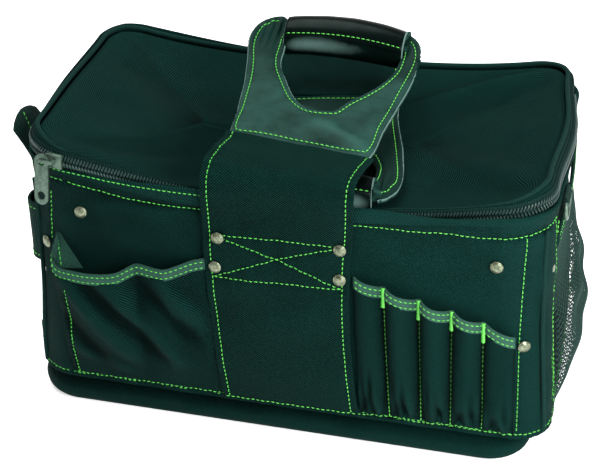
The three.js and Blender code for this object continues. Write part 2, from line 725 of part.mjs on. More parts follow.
function addToolSlots() {
  const rows = slotRows();
  const place = (row, rise, offset) => {
    const z = lerp(POCKET_FOOT, row.top - BINDING_HEIGHT - GAP, rise);
    const x = lerp(row.footX, row.mouthX, rise);
    const out = row.bulge * lerp(SLOT_FOOT_BULGE, SLOT_MOUTH_BULGE, rise);
    return facePoint(FRONT, x, z, GAP + out + offset);
  };
  const sheetRow = (offset) => (row) => POCKET_RISE.map((rise) => place(row, rise, offset));
  addPiece('tool_slots', DARK_CLOTH, sheet(rows, sheetRow(CLOTH), sheetRow(0)));

  const bind = (offset) => (row) => EDGE_PARTS.map((part) => {
    const z = row.top - BINDING_HEIGHT * (1 - part);
    return facePoint(FRONT, row.mouthX, z, GAP + row.bulge * SLOT_MOUTH_BULGE + offset);
  });
  addPiece('tool_slots_binding', GREY_TAPE, sheet(rows, bind(CLOTH), bind(0)));
}

// Net pocket on the right side, with a hem along its mouth
function addNetPocket() {
  const steps = range(NET.steps + 1).map((i) => i / NET.steps);
  const out = (part, rise) => {
    const { bulge, mouth, sink, slope, round, arch, closing, closed } = NET_BELLY;
    const belly = Math.sin(Math.PI * rise ** sink) ** round * (1 - slope * part);
    const across = Math.sin(Math.PI * part) ** arch;
    return across * lerp(belly * bulge, mouth, smooth(rise, closing, closed));
  };
  const sheetRow = (offset) => (part) => NET_LEVELS.map((rise) => {
    const z = lerp(NET.foot, NET.top - NET.hem - GAP, rise);
    return facePoint(RIGHT, lerp(NET.front, NET.back, part), z, GAP + out(part, rise) + offset);
  });
  addPiece('mesh_pocket', NET_CLOTH, sheet(steps, sheetRow(CLOTH), sheetRow(0)));
  const hemRow = (offset) => (part) => EDGE_PARTS.map((rise) => {
    const z = lerp(NET.top - NET.hem, NET.top, rise);
    return facePoint(RIGHT, lerp(NET.front, NET.back, part), z, GAP + out(part, 1) + offset);
  });
  addPiece('mesh_hem', DARK_CLOTH, sheet(steps, hemRow(BINDING_THICK), hemRow(0)));
}

// Rivets
function addRivet(name, face, along, z, offset) {
  const points = RIVET_PROFILE.map(({ r, h }) => new THREE.Vector2(r * RIVET_RADIUS, h * RIVET_HEIGHT));
  const geometry = new THREE.LatheGeometry(points, RIVET_SIDES);
  geometry.rotateX(Math.PI / 2);
  const seat = facePoint(face, along, z, offset);
  const outward = facePoint(face, along, z, offset + 1);
  const beside = facePoint(face, along + 0.5, z, offset).sub(facePoint(face, along - 0.5, z, offset));
  const normal = new THREE.Vector3(beside.y, -beside.x, 0).normalize();
  if (normal.dot(outward.clone().sub(seat)) < 0) normal.negate();
  const mesh = addPiece(name, RIVET_METAL, geometry);
  mesh.quaternion.setFromUnitVectors(new THREE.Vector3(0, 0, 1), normal);
  mesh.position.copy(seat);
}

function addRivets() {
  const onStrap = STRAP + GAP;
  STRAP_RIVETS.forEach(({ x, z }, i) => {
    addRivet(`rivet_front_strap_${i + 1}`, FRONT, x, z, FRONT_STRAP_LIFT + onStrap);
    addRivet(`rivet_rear_strap_${i + 1}`, BACK, x, z, REAR_STRAP_LIFT + onStrap);
  });
  for (const { name, face, along, z } of WALL_RIVETS) addRivet(name, face, along, z, GAP);
}

function addCornerPiping() {
  for (const { name, station } of CORNER_PIPING_STATIONS) {
    const lift = CORNER_PIPING_RADIUS - GAP;
    const points = CORNER_PIPING_LEVELS.map((z) => wallPoint(station, z, lift));
    addPiece(name, DARK_CLOTH, bar(points, CORNER_PIPING_RADIUS, CORD_SIDES, false));
  }
}

// Right side ring, hanging in the loop of its webbing tab
function addSideRing() {
  const x = facePoint(RIGHT, RING.along, RING.z, 0).x + RING.out;
  const upper = RING_BAR_PARTS.map((part) => ({ y: part * RING.halfWidth, drop: 0 }));
  const lower = range(RING.steps + 1).map((i) => {
    const turn = (Math.PI * i) / RING.steps;
    const drop = RING.shoulder + RING.drop * Math.sin(turn) ** RING.round;
    return { y: RING.halfWidth * Math.cos(turn), drop };
  });
  const wire = [...upper, ...lower];
  const points = wire.map(({ y, drop }) => new THREE.Vector3(x, RING.along + y, RING.z - drop));
  addPiece('side_ring', GREY_METAL, bar(points, RING.wire, WIRE_SIDES, true));

  const { half, top, thick, loop, steps } = RING_TAB;
  const layerX = (layer) => facePoint(RIGHT, RING.along, top, GAP + layer * (thick + GAP)).x;
  const bend = range(steps + 1).map((i) => {
    const turn = Math.PI * (1 + i / steps);
    return { x: x + loop * Math.cos(turn), z: RING.z + loop * Math.sin(turn) };
  });
  const path = [{ x: layerX(1), z: top }, ...bend, { x: layerX(2), z: top }];
  const side = (grow) => (y) => path.map((point, i) => {
    const before = path[Math.max(i - 1, 0)];
    const after = path[Math.min(i + 1, path.length - 1)];
    const dx = after.x - before.x;
    const dz = after.z - before.z;
    const size = Math.hypot(dx, dz);
    return new THREE.Vector3(point.x + (dz / size) * grow, y, point.z - (dx / size) * grow);
  });
  const ends = [RING.along - half, RING.along + half];
  addPiece('ring_tab', BLACK_WEBBING, sheet(ends, side(thick), side(0)));
}

// Left side: the standing webbing tab and the two webbing loops
function addLeftTab() {
  const { front, back, thick, taper } = LEFT_TAB;
  const steps = [front, (front + back) / 2, back];
  const side = (grow) => (along) => LEFT_TAB_ROWS.map(({ out, z, lean }) =>
    facePoint(LEFT, along, z - grow * lean, out + grow * (1 - lean * taper)));
  addPiece('left_tab', BLACK_WEBBING, sheet(steps, side(thick), side(0)));
}

function addLoop(name, { from, to, low, high, bulge, thick, foot }) {
  const steps = [
    { along: from - foot, out: 0 },
    ...LOOP_ROWS.map(({ part, out }) => ({ along: lerp(from, to, part), out })),
    { along: to + foot, out: 0 },
  ];
  const levels = [low, (low + high) / 2, high];
  const row = (lift) => ({ along, out }) => levels.map((z) =>
    facePoint(LEFT, along, z, LOOP_LIFT + out * bulge + lift));
  addPiece(name, BLACK_WEBBING, sheet(steps, row(thick), row(0)));
}

// Zip slider and pull
function solidOf(geometry) {
  const bare = geometry.clone();
  bare.deleteAttribute('normal');
  bare.deleteAttribute('uv');
  const merged = mergeVertices(bare, 1e-4);
  const vertProperties = new Float32Array(merged.attributes.position.array);
  const triVerts = new Uint32Array(merged.index.array);
  return new wasm.Manifold(new wasm.Mesh({ numProp: 3, vertProperties, triVerts }));
}

function geometryOf(solid) {
  const { vertProperties, triVerts } = solid.getMesh();
  const geometry = new THREE.BufferGeometry();
  geometry.setAttribute('position', new THREE.BufferAttribute(new Float32Array(vertProperties), 3));
  geometry.setIndex(new THREE.BufferAttribute(new Uint32Array(triVerts), 1));
  return geometry;
}

function placed(geometry, along, across, out, origin) {
  const frame = new THREE.Matrix4().makeBasis(along, across, out).setPosition(origin);
  return geometry.applyMatrix4(frame);
}

/** A bar of rectangular section between two corners in the frame that is then placed. */
function block(low, high) {
  const geometry = new THREE.BoxGeometry(high.x - low.x, high.y - low.y, high.z - low.z);
  return geometry.translate((low.x + high.x) / 2, (low.y + high.y) / 2, (low.z + high.z) / 2);
}

/** The slider's plate rides the chain, and a bridge stands on it from its nose to its middle. */
function addSlider() {
  const { low, up, out, ahead, width } = zipFrame(SLIDER_STATION);
  const seat = low.clone().addScaledVector(up, width / 2).addScaledVector(out, CHAIN_HEIGHT + GAP);
  const { length, nose, thick } = SLIDER;
  const plate = new THREE.Shape();
  plate.moveTo(-length / 2, -nose / 2);
  plate.lineTo(-length / 6, -SLIDER.width / 2);
  plate.lineTo(length / 2, -SLIDER.width / 2);
  plate.lineTo(length / 2, SLIDER.width / 2);
  plate.lineTo(-length / 6, SLIDER.width / 2);
  plate.lineTo(-length / 2, nose / 2);
  plate.closePath();
  const plateGeometry = new THREE.ExtrudeGeometry(plate, { depth: thick, bevelEnabled: false });
  placed(plateGeometry, ahead, up, out, seat);

  const level = new THREE.Vector3(0, 0, 1);
  const lean = degrees(BRIDGE.lean);
  const leg = ahead.clone().cross(level).normalize().multiplyScalar(Math.cos(lean));
  leg.addScaledVector(level, Math.sin(lean));
  const rise = leg.clone().cross(ahead);
  const half = BRIDGE.wire / 2;
  const foot = thick / 2;
  const bridge = [
    block({ x: BRIDGE.left - half, y: -half, z: foot }, { x: BRIDGE.left + half, y: half, z: BRIDGE.top }),
    block({ x: BRIDGE.right - half, y: -half, z: foot }, { x: BRIDGE.right + half, y: half, z: BRIDGE.top }),
    block(
      { x: BRIDGE.left - half, y: -half, z: BRIDGE.top - BRIDGE.wire },
      { x: BRIDGE.right + half, y: half, z: BRIDGE.top },
    ),
  ];
  let slider = solidOf(plateGeometry);
  for (const bar of bridge) slider = slider.add(solidOf(placed(bar, ahead, rise, leg, seat)));
  addPiece('zip_slider', GREY_METAL, geometryOf(slider));

  // The pull's eye hangs on the bridge's left leg, and its plate lies square to that leg
  const tab = new THREE.Shape();
  const r = PULL.width / 2;
  const footY = PULL.rise - PULL.length + r;
  tab.absarc(0, PULL.rise - r, r, 0, Math.PI, false);
  tab.absarc(0, footY, r, Math.PI, 2 * Math.PI, false);
  tab.closePath();
  const eye = new THREE.Path();
  eye.absarc(0, -PULL.drop, PULL.eye, 0, 2 * Math.PI, true);
  const hole = new THREE.Path();
  hole.absarc(0, footY + PULL.holeRise - r, PULL.hole, 0, 2 * Math.PI, true);
  tab.holes.push(eye, hole);
  const depth = PULL.thick;
  const curveSegments = PULL.steps;
  const tabGeometry = new THREE.ExtrudeGeometry(tab, { depth, bevelEnabled: false, curveSegments });
  tabGeometry.translate(BRIDGE.left, 0, BRIDGE.top - BRIDGE.wire - GAP - PULL.thick);
  placed(tabGeometry, ahead, rise, leg, seat);
  addPiece('zip_pull', GREY_METAL, tabGeometry);
}

const frontSpine = makeSpine(FRONT_SPINE, 1);
const rearSpine = makeSpine(REAR_SPINE, -1);

addBody();
addLid();
addZip();
addStrap('front_strap', FRONT, frontSpine, FRONT_STRAP_LIFT);
addYoke('front_yoke', frontSpine);
addGrip('front_grip', frontSpine);
addStrap('rear_strap', BACK, rearSpine, REAR_STRAP_LIFT);
addYoke('rear_yoke', rearSpine);
addGrip('rear_grip', rearSpine);
addLeftPocket();
addToolSlots();
addNetPocket();
addRivets();
addCornerPiping();
addSideRing();
addLeftTab();
addLoop('hammer_loop', HAMMER_LOOP);
addLoop('keeper_loop', KEEPER_LOOP);
addSlider();

export default bag;
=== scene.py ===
import math

import bpy
import numpy as np
from mathutils import Matrix, Vector


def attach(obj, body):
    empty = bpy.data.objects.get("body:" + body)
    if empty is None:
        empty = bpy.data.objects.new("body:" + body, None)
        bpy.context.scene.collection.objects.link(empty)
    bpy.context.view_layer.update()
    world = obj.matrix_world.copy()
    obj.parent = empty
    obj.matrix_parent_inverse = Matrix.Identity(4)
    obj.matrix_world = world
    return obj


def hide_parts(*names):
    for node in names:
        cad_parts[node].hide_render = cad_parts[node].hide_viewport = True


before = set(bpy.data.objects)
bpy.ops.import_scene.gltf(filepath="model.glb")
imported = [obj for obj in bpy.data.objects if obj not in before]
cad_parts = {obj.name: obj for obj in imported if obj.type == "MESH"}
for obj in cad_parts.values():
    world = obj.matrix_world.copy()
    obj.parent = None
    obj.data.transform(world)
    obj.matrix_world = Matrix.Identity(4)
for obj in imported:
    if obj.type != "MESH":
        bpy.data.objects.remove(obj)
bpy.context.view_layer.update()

# Lengths are millimetres, scaled to metres when pieces are made; flat sizes, finishes and stage are metres
MM = 0.001
RNG = np.random.default_rng(7)
FRONT, RIGHT, BACK, LEFT = range(4)
# The cloth map's name, and the attribute that holds painted shade in hollows, painted light on ridges and the
# grips' painted highlights
MAP, SHADE_AND_HIGHLIGHT_ATTRIBUTE = "cloth_map", "fold"

# Body sizes, the same as the frame's or close to them
GAP, WALL = 0.3, 3.0
CLOTH, STRAP, LEATHERETTE = 1.6, 2.0, 2.4
FRONT_STRAP_LIFT, REAR_STRAP_LIFT = 2.2, 0.3
SKEW, SKEW_START = 0.033, -122.0
SAG_START, ZIP_HEIGHT, RIM_HEIGHT = 196.0, 225.0, 235.0
FRONT_SAG, BACK_SAG, SAG_HALF_WIDTH = 16.0, 15.0, 194.0
LID_FRONT_SAG, LID_BACK_SAG, LID_DIP, LID_PAD = 32.0, 17.0, 7.0, 5.0
LEFT_RISE_FRONT, LEFT_RISE_BACK, LEFT_RISE_RUN = 10.0, 5.0, (40, 190)
DIP_DEPTH, DIP_INSET, DIP_RUN = 9.0, 7.5, ((10, 60), (90, 205))
BLEND_HALF_DEPTH = 110.0
SMALLEST_CORNER = 4.0
BODY_COLUMNS = ("z", "half_width", "half_depth", "corner", "front_bow", "right_bow", "left_bow")
BODY = np.array([
    (26, 204, 120, 30, 1, 1, 1),
    (60, 204, 121.5, 31, 3, 1, 2),
    (120, 203, 122, 32, 3.5, 1, 3),
    (170, 203, 121.5, 35, 2.5, 1, 4),
    (202, 204, 121, 38, 1.5, 3, 4),
    (219, 206, 122.4, 39, 0.5, 5.5, 2.5),
    (240, 206, 122.6, 39, 0, 6, 2),
], float)

# How the bag stands: the walls' foot is turned and spread, and the base is shifted
FOOT_TURN, FOOT_RUN, FOOT_LEFT, FOOT_RIGHT = 0.038, (30, 130), 8.5, 4.0
BASE_SHIFT, BASE_STRETCH = -11.0, 0.99


def lerp(a, b, t):
    return a + (b - a) * t


def smooth(x, low, high):
    t = np.clip((np.asarray(x, float) - low) / (high - low), 0, 1)
    return t * t * (3 - 2 * t)


def window(x, rise, fall):
    """Up from 0 to 1 over one stretch and down again over another."""
    return smooth(x, *rise) * (1 - smooth(x, *fall))


def bell(x, centre, width):
    return np.exp(-((np.asarray(x, float) - centre) / width) ** 2)


def unit(v):
    return v / np.maximum(np.linalg.norm(v, axis=-1, keepdims=True), 1e-9)


def table_at(keys, values, place):
    """A table's column at places between its rows, on a smooth curve through them."""
    place = np.clip(np.asarray(place, float), keys[0], keys[-1])
    last = len(keys) - 1
    i = np.clip(np.searchsorted(keys, place, side="right") - 1, 0, last - 1)
    low, high = np.maximum(np.arange(last + 1) - 1, 0), np.minimum(np.arange(last + 1) + 1, last)
    slopes = (values[high] - values[low]) / (keys[high] - keys[low])
    span = keys[i + 1] - keys[i]
    t = (place - keys[i]) / span
    bend = t * (1 - t) * span * ((1 - t) * slopes[i] - t * slopes[i + 1])
    return lerp(values[i], values[i + 1], t * t * (3 - 2 * t)) + bend


def refined(grid, times, closed=False):
    """Rows of a table or grid filled in on smooth curves through them."""
    grid = np.asarray(grid, float)
    if closed:
        p = np.concatenate([grid[-1:], grid, grid[:2]])
    else:
        p = np.concatenate([2 * grid[:1] - grid[1:2], grid, 2 * grid[-1:] - grid[-2:-1]])
    p0, p1, p2, p3 = (a[:, None] for a in (p[:-3], p[1:-2], p[2:-1], p[3:]))
    t = (np.arange(times) / times).reshape((1, -1) + (1,) * (grid.ndim - 1))
    filled = 0.5 * (2 * p1 + (p2 - p0) * t + (2 * p0 - 5 * p1 + 4 * p2 - p3) * t ** 2
                    + (3 * p1 - p0 - 3 * p2 + p3) * t ** 3)
    filled = filled.reshape((-1,) + grid.shape[1:])
    return filled if closed else np.concatenate([filled, grid[-1:]])


def distances(points):
    """How far each point of a line is from its start, along the line."""
    return np.concatenate([[0], np.cumsum(np.linalg.norm(np.diff(points, axis=0), axis=1))])


def run_length(points):
    """A line's length in metres, to the millimetre."""
    return round(float(np.linalg.norm(np.diff(points, axis=0), axis=1).sum() * MM), 3)


def picked(places, lengths, vectors):
    """Vectors kept along a line, read at places between them."""
    return np.stack([np.interp(places, lengths, vectors[:, k]) for k in range(3)], -1)


def straight(start, end, count):
    """Two coordinates along a straight line, such as rows and columns of a surface."""
    return np.linspace(start[0], end[0], count), np.linspace(start[1], end[1], count)


def line_on(path_function, start, end, count=200):
    """Points and normals along a path that is given by a place and a lift."""
    places = np.linspace(start, end, count)
    base, above = path_function(places, 0.0), path_function(places, 1.0)
    return base, unit(above - base)


WAVE_SPREAD, WAVE_COUNT = (0.6, 1.5), 9


def soft_noise(points, size, seed):
    """Smooth uneven swells about as long as size, mostly between -1 and 1."""
    rng = np.random.default_rng(seed)
    total = 0
    for _ in range(WAVE_COUNT):
        direction = unit(rng.normal(size=3)) * rng.uniform(*WAVE_SPREAD) * 2 * np.pi / size
        total = total + np.sin(points @ direction + rng.uniform(0, 2 * np.pi))
    return total / math.sqrt(WAVE_COUNT)


def swells(points, rows, seed):
    """Swells added up from rows of length, upright squeeze and height, each with the next seed."""
    return sum(soft_noise(points * (1, 1, squeeze), length, seed + k) * height
               for k, (length, squeeze, height) in enumerate(rows))


FOLD_RISES, FOLD_FALLS = (-0.15, 0.25), (0.7, 1.1)


def ridge(x, y, start, end, width, height):
    """A soft fold along a straight line, dying out at both ends."""
    start, end = np.array(start, float), np.array(end, float)
    along = end - start
    length = np.linalg.norm(along)
    along = along / length
    px, py = x - start[0], y - start[1]
    t = px * along[0] + py * along[1]
    d = -px * along[1] + py * along[0]
    ends = window(t, np.multiply(FOLD_RISES, length), np.multiply(FOLD_FALLS, length))
    return height * ends * np.exp(-(d / width) ** 2)


# Plan and faces of the body
def body_size(z):
    return {c: table_at(BODY[:, 0], BODY[:, k], z) for k, c in enumerate(BODY_COLUMNS) if k}


RIM = body_size(RIM_HEIGHT)


def hump(part):
    return 0.5 - 0.5 * np.cos(2 * np.pi * part)


def face_size(size, face):
    lengthwise = face % 2 == 0
    along = np.where(lengthwise, size["half_width"], size["half_depth"])
    across = np.where(lengthwise, size["half_depth"], size["half_width"])
    bows = (size["front_bow"], size["right_bow"], size["front_bow"], size["left_bow"])
    return along, across, np.choose(face, bows)


def quarter_turn(x, y, face):
    return np.choose(face, (x, -y, -x, y)), np.choose(face, (y, x, -y, -x))


def skewed(x, y):
    return x - SKEW * (y - SKEW_START), y


def outline(size, station, inset):
    """Plan of the rounded outline. Even stations start faces, odd ones start corners."""
    station = np.asarray(station, float)
    face = np.floor(station / 2).astype(int) % 4
    part = station % 2
    r = np.maximum(size["corner"] - inset, SMALLEST_CORNER)
    along, across, bow = face_size(size, face)
    along, across = along - inset - r, across - inset - r
    turn = (part - 2) * np.pi / 2
    x = np.where(part < 1, lerp(-along, along, part), along + r * np.cos(turn))
    y = np.where(part < 1, -across - r - bow * hump(part), -across + r * np.sin(turn))
    return skewed(*quarter_turn(x, y, face))


def towards_back(y):
    return smooth(y, -BLEND_HALF_DEPTH, BLEND_HALF_DEPTH)


def left_rise(x, y):
    """How far the rim's left end stands up, more at the front than at the back."""
    return lerp(LEFT_RISE_FRONT, LEFT_RISE_BACK, towards_back(y)) * smooth(-x, *LEFT_RISE_RUN)


def sag_share(x, power):
    return np.maximum(0, 1 - np.abs(x / SAG_HALF_WIDTH) ** power)


def rim_drop(x, y):
    depth = lerp(FRONT_SAG, BACK_SAG, towards_back(y))
    return depth * sag_share(x, 2) - left_rise(x, y)


def lid_drop(x, y):
    back = towards_back(y)
    depth = lerp(LID_FRONT_SAG, LID_BACK_SAG, back)
    return depth * sag_share(x, 3) - left_rise(x, y) * (1 - back)


def closing(station, inset):
    """Plan of a closing row, set in where the zip dips right of the strap, and the dip there."""
    x, y = outline(RIM, station, inset)
    share = window(x, *DIP_RUN) * (1 - smooth(y, -BLEND_HALF_DEPTH, 0))
    return *outline(RIM, station, inset + DIP_INSET * share), DIP_DEPTH * share


def sagged(x, y, z):
    """Sags the rim, and turns and spreads the foot of the bag a little, as it stands."""
    foot = 1 - smooth(z, *FOOT_RUN)
    spread = foot * np.where(x < 0, FOOT_LEFT, FOOT_RIGHT) * x / BODY[0, 1]
    drop = rim_drop(x, y) * smooth(z, SAG_START, ZIP_HEIGHT)
    return np.stack([x + spread, y - FOOT_TURN * foot * x, z - drop], -1)


def on_wall(station, z, offset):
    station, z, offset = np.broadcast_arrays(station, np.asarray(z, float), offset)
    return sagged(*outline(body_size(z), station, -offset), z)


def on_face(face, along, z, offset):
    """A point on one face by its distance along it, carried round onto the corners."""
    along, z, offset = np.broadcast_arrays(np.asarray(along, float), np.asarray(z, float), offset)
    size = body_size(z)
    own_along, across, bow = face_size(size, face)
    flat = own_along - size["corner"]
    over = np.maximum(np.abs(along) - flat, 0)
    r = size["corner"] + offset
    depth = across + offset + bow * hump(np.clip((along + flat) / (2 * flat), 0, 1))
    corner = across - size["corner"] + np.sqrt(np.maximum(r * r - over * over, 0))
    depth = np.where(over > 0, corner, depth)
    return sagged(*skewed(*quarter_turn(along, -depth, face)), z)


# Painted fold shade, darker in hollows and paler on ridges: how wide a fold may be, how far it stands out at
# full shade and the most smoothing passes
FOLD_SPREAD, FOLD_FULL, FOLD_PASSES = 7.0, 1.5, 90

# Puckers beside a seam: their length in points of its line, their drift and how far they reach
PUCKER_LENGTH, PUCKER_DRIFT, DRIFT_LENGTH, PUCKER_REACH = 11.0, 1.3, 17.0, 6.0
SINK_BATCH = 4000


class Surface:
    """A grid of points, rows by columns, that faces the side its columns cross its rows to."""

    def __init__(self, points, wrap=False):
        self.points = np.asarray(points, float)
        self.wrap = wrap
        self.turn()

    def turn(self):
        p = self.points
        if self.wrap:
            wide = np.concatenate([p[:, -1:], p, p[:, :1]], 1)
            across = np.gradient(wide, axis=1)[:, 1:-1]
        else:
            across = np.gradient(p, axis=1)
        self.normals = unit(np.cross(across, np.gradient(p, axis=0)))

    def at(self, row, column, lift=0.0):
        rows, columns = self.points.shape[:2]
        row, column, lift = np.broadcast_arrays(np.asarray(row, float), column, lift)
        row, column = np.clip(row, 0, rows - 1.001), np.clip(column, 0, columns - 1.001)
        r, c = row.astype(int), column.astype(int)
        a, b = (row - r)[..., None], (column - c)[..., None]

        def mix(g):
            return lerp(lerp(g[r, c], g[r, c + 1], b), lerp(g[r + 1, c], g[r + 1, c + 1], b), a)
        normal = unit(mix(self.normals))
        return mix(self.points) + normal * lift[..., None], normal

    def push(self, amount):
        self.points = self.points + self.normals * np.asarray(amount)[..., None]
        self.turn()

    def folds(self):
        """How far each point stands out of the cloth around it: 1 on a ridge, -1 in a hollow; it is used as
        painted shade.
        """
        soft = self.points
        for axis in (0, 1):
            step = np.linalg.norm(np.diff(self.points, axis=axis), axis=2).mean()
            wrap = self.wrap and axis == 1
            for _ in range(int(np.clip(2 * (FOLD_SPREAD / step) ** 2, 1, FOLD_PASSES))):
                before, after = np.roll(soft, 1, axis), np.roll(soft, -1, axis)
                if not wrap:
                    ends = [slice(None)] * 2
                    ends[axis] = 0
                    before[tuple(ends)] = 2 * soft[tuple(ends)] - after[tuple(ends)]
                    ends[axis] = -1
                    after[tuple(ends)] = 2 * soft[tuple(ends)] - before[tuple(ends)]
                soft = (before + 2 * soft + after) / 4
        return np.clip(((self.points - soft) * self.normals).sum(-1) / FOLD_FULL, -1, 1)

    def sink(self, path, depth, width, pucker):
        """Draws the cloth in along a line of stitches, with small puckers beside it."""
        reach = 4 * width + 8
        flat = self.points.reshape(-1, 3)
        near = np.where(np.all((flat > path.min(0) - reach) & (flat < path.max(0) + reach), axis=1))[0]
        amount = np.zeros(len(flat))
        steps = np.arange(len(path))
        for part in np.array_split(near, max(1, len(near) // SINK_BATCH)):
            if not len(part):
                continue
            gap = np.linalg.norm(flat[part][:, None] - path[None], axis=2)
            step, least = steps[gap.argmin(1)], gap.min(1)
            drift = PUCKER_DRIFT * np.sin(step / DRIFT_LENGTH)
            ripple = np.sin(step * 2 * np.pi / PUCKER_LENGTH + drift)
            beside = pucker * ripple * np.exp(-(least / PUCKER_REACH) ** 2)
            amount[part] = beside - depth * np.exp(-(least / width) ** 2)
        self.push(amount.reshape(self.points.shape[:2]))


class Shell:
    """Points and faces of one piece, gathered patch by patch."""

    def __init__(self):
        self.points, self.folds, self.faces, self.maps, self.marks = [], [], [], [], []
        self.count = 0

    # folds: painted shade for each point, written into the piece's shade attribute
    def add(self, points, folds=0.0):
        points = np.asarray(points, float)
        self.folds.append(np.broadcast_to(folds, points.shape[:-1]).ravel())
        index = np.arange(self.count, self.count + points[..., 0].size).reshape(points.shape[:-1])
        self.points.append(points.reshape(-1, 3))
        self.count += index.size
        return index

    def join(self, index, wrap_rows=False, wrap_columns=False, mark=0, flip=False):
        """Quads over a grid of point numbers, with a map in millimetres of cloth."""
        p = np.concatenate(self.points)
        if wrap_rows:
            index = np.concatenate([index, index[:1]])
        if wrap_columns:
            index = np.concatenate([index, index[:, :1]], 1)
        g = p[index]
        u = np.concatenate([[0], np.cumsum(np.linalg.norm(np.diff(g, axis=1), axis=2).mean(0))])
        v = np.concatenate([[0], np.cumsum(np.linalg.norm(np.diff(g, axis=0), axis=2).mean(1))])
        uv = np.stack(np.broadcast_arrays(u[None, :], v[:, None]), -1)
        first, second = slice(None, -1), slice(1, None)
        corners = [(first, first), (first, second), (second, second), (second, first)]
        if flip:
            corners = corners[::-1]
        self.faces.append(np.stack([index[c].ravel() for c in corners], 1))
        self.maps.append(np.stack([uv[c].reshape(-1, 2) for c in corners], 1))
        self.marks.append(np.full(len(self.faces[-1]), mark))

    def fan(self, ring, flip=False):
        """Closes an even ring of points with strips from side to side."""
        n = len(ring)
        j = np.arange(n // 2 - 1)
        quads = np.stack([ring[j], ring[n - 1 - j], ring[n - 2 - j], ring[j + 1]], 1)
        if flip:
            quads = quads[:, ::-1]
        p = np.concatenate(self.points)[quads]
        self.faces.append(quads)
        self.maps.append(p[..., :2])
        self.marks.append(np.zeros(len(quads)))


# Edges of sheets: rings by depth and bulge, and which material each strip between them has
PLAIN_EDGE = (((0.5, 0.35),), (0, 0))
RAW_EDGE = (((0.12, 0.08), (0.24, 0.10), (0.28, 0.30), (0.48, 0.36), (0.54, 0.52), (0.85, 0.5)),
            (0, 0, 1, 1, 0, 0, 0))


def sheet_shell(surface, thick, edge=PLAIN_EDGE, shade=0.0):
    """A closed sheet under a surface, with a rounded edge all round."""
    p = surface.points
    q = p - surface.normals * thick
    shell = Shell()
    # The top carries painted shade: its fold shade plus the given shade
    top, under = shell.add(p, surface.folds() + shade), shell.add(q)
    shell.join(top, wrap_columns=surface.wrap)
    shell.join(under, wrap_columns=surface.wrap, flip=True)

    def close(t, u, a, b, inside, flip):
        rings, marks = edge
        out = unit(a - inside) * thick
        rows = [t] + [shell.add(lerp(a, b, depth) + out * bulge) for depth, bulge in rings] + [u]
        for k, mark in enumerate(marks):
            shell.join(np.stack(rows[k:k + 2]), wrap_columns=True, mark=mark, flip=flip)

    def around(g):
        return np.concatenate([g[0, :-1], g[:-1, -1], g[-1, :0:-1], g[:0:-1, 0]])
    if surface.wrap:
        close(top[0], under[0], p[0], q[0], p[1], True)
        close(top[-1], under[-1], p[-1], q[-1], p[-2], False)
    else:
        inside = np.concatenate([p[1, :-1], p[:-1, -2], p[-2, :0:-1], p[:0:-1, 1]])
        close(around(top), around(under), around(p), around(q), inside, True)
    return shell


def tube_shell(path, radius, sides, closed=False, guide=(0, 0, 1), squash=1.0, shell=None):
    """A round or flattened bar along a line of points."""
    shell = shell or Shell()
    path = np.asarray(path, float)
    if closed:
        tangent = unit(np.roll(path, -1, 0) - np.roll(path, 1, 0))
    else:
        tangent = unit(np.gradient(path, axis=0))
    guide = np.broadcast_to(np.asarray(guide, float), path.shape)
    side = unit(np.cross(guide, tangent))
    up = np.cross(tangent, side)
    turn = 2 * np.pi * (np.arange(sides) + 0.5) / sides
    rings = path[:, None] + radius * (side[:, None] * np.cos(turn)[:, None]
                                      + up[:, None] * np.sin(turn)[:, None] * squash)
    index = shell.add(rings)
    shell.join(index, wrap_rows=closed, wrap_columns=True)
    if not closed:
        shell.fan(index[0])
        shell.fan(index[-1], flip=True)
    return shell


# Angles over which an edge stays sharp, in degrees, for cloth, grip rolls and metal
SOFT_SHARP, ROLL_SHARP, METAL_SHARP = 48, 60, 70


def add_object(name, data):
    made = bpy.data.objects.new(name, data)
    bpy.context.scene.collection.objects.link(made)
    return made


def shade_smooth(mesh, sharp):
    mesh.polygons.foreach_set("use_smooth", np.ones(len(mesh.polygons), bool))
    mesh.set_sharp_from_angle(angle=math.radians(sharp))


def make_piece(name, shell, materials, nodes=(), body="bag", sharp=SOFT_SHARP):
    """One mesh from a shell, riding its body in place of the frame's nodes."""
    points = np.concatenate(shell.points) * MM
    faces = np.concatenate(shell.faces)
    maps = np.concatenate(shell.maps) * MM
    mesh = bpy.data.meshes.new(name)
    mesh.vertices.add(len(points))
    mesh.vertices.foreach_set("co", points.astype(np.float32).ravel())
    mesh.loops.add(faces.size)
    mesh.loops.foreach_set("vertex_index", faces.astype(np.int32).ravel())
    mesh.polygons.add(len(faces))
    mesh.polygons.foreach_set("loop_start", np.arange(0, faces.size, 4, dtype=np.int32))
    for material in materials:
        mesh.materials.append(material)
    mesh.polygons.foreach_set("material_index", np.concatenate(shell.marks).astype(np.int32))
    layer = mesh.uv_layers.new(name=MAP)
    layer.data.foreach_set("uv", maps.astype(np.float32).ravel())
    mesh.update(calc_edges=True)
    # Painted shade and highlights, kept as a point attribute for the materials
    folds = np.concatenate(shell.folds)
    if folds.any():
        mesh.attributes.new(SHADE_AND_HIGHLIGHT_ATTRIBUTE, "FLOAT", "POINT").data.foreach_set("value", folds.astype(np.float32))
    shade_smooth(mesh, sharp)
    piece = add_object(name, mesh)
    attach(piece, body)
    if nodes:
        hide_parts(*nodes)
    return piece


NARROWEST = 0.01


def declare_sheet(surface):
    """Works out a sheet's flat size from the lengths of its middle row and middle column; the size is not
    used.
    """
    p = surface.points
    sides = (run_length(p[len(p) // 2]), run_length(p[:, p.shape[1] // 2]))
    flat = tuple(max(side, NARROWEST) for side in sides)


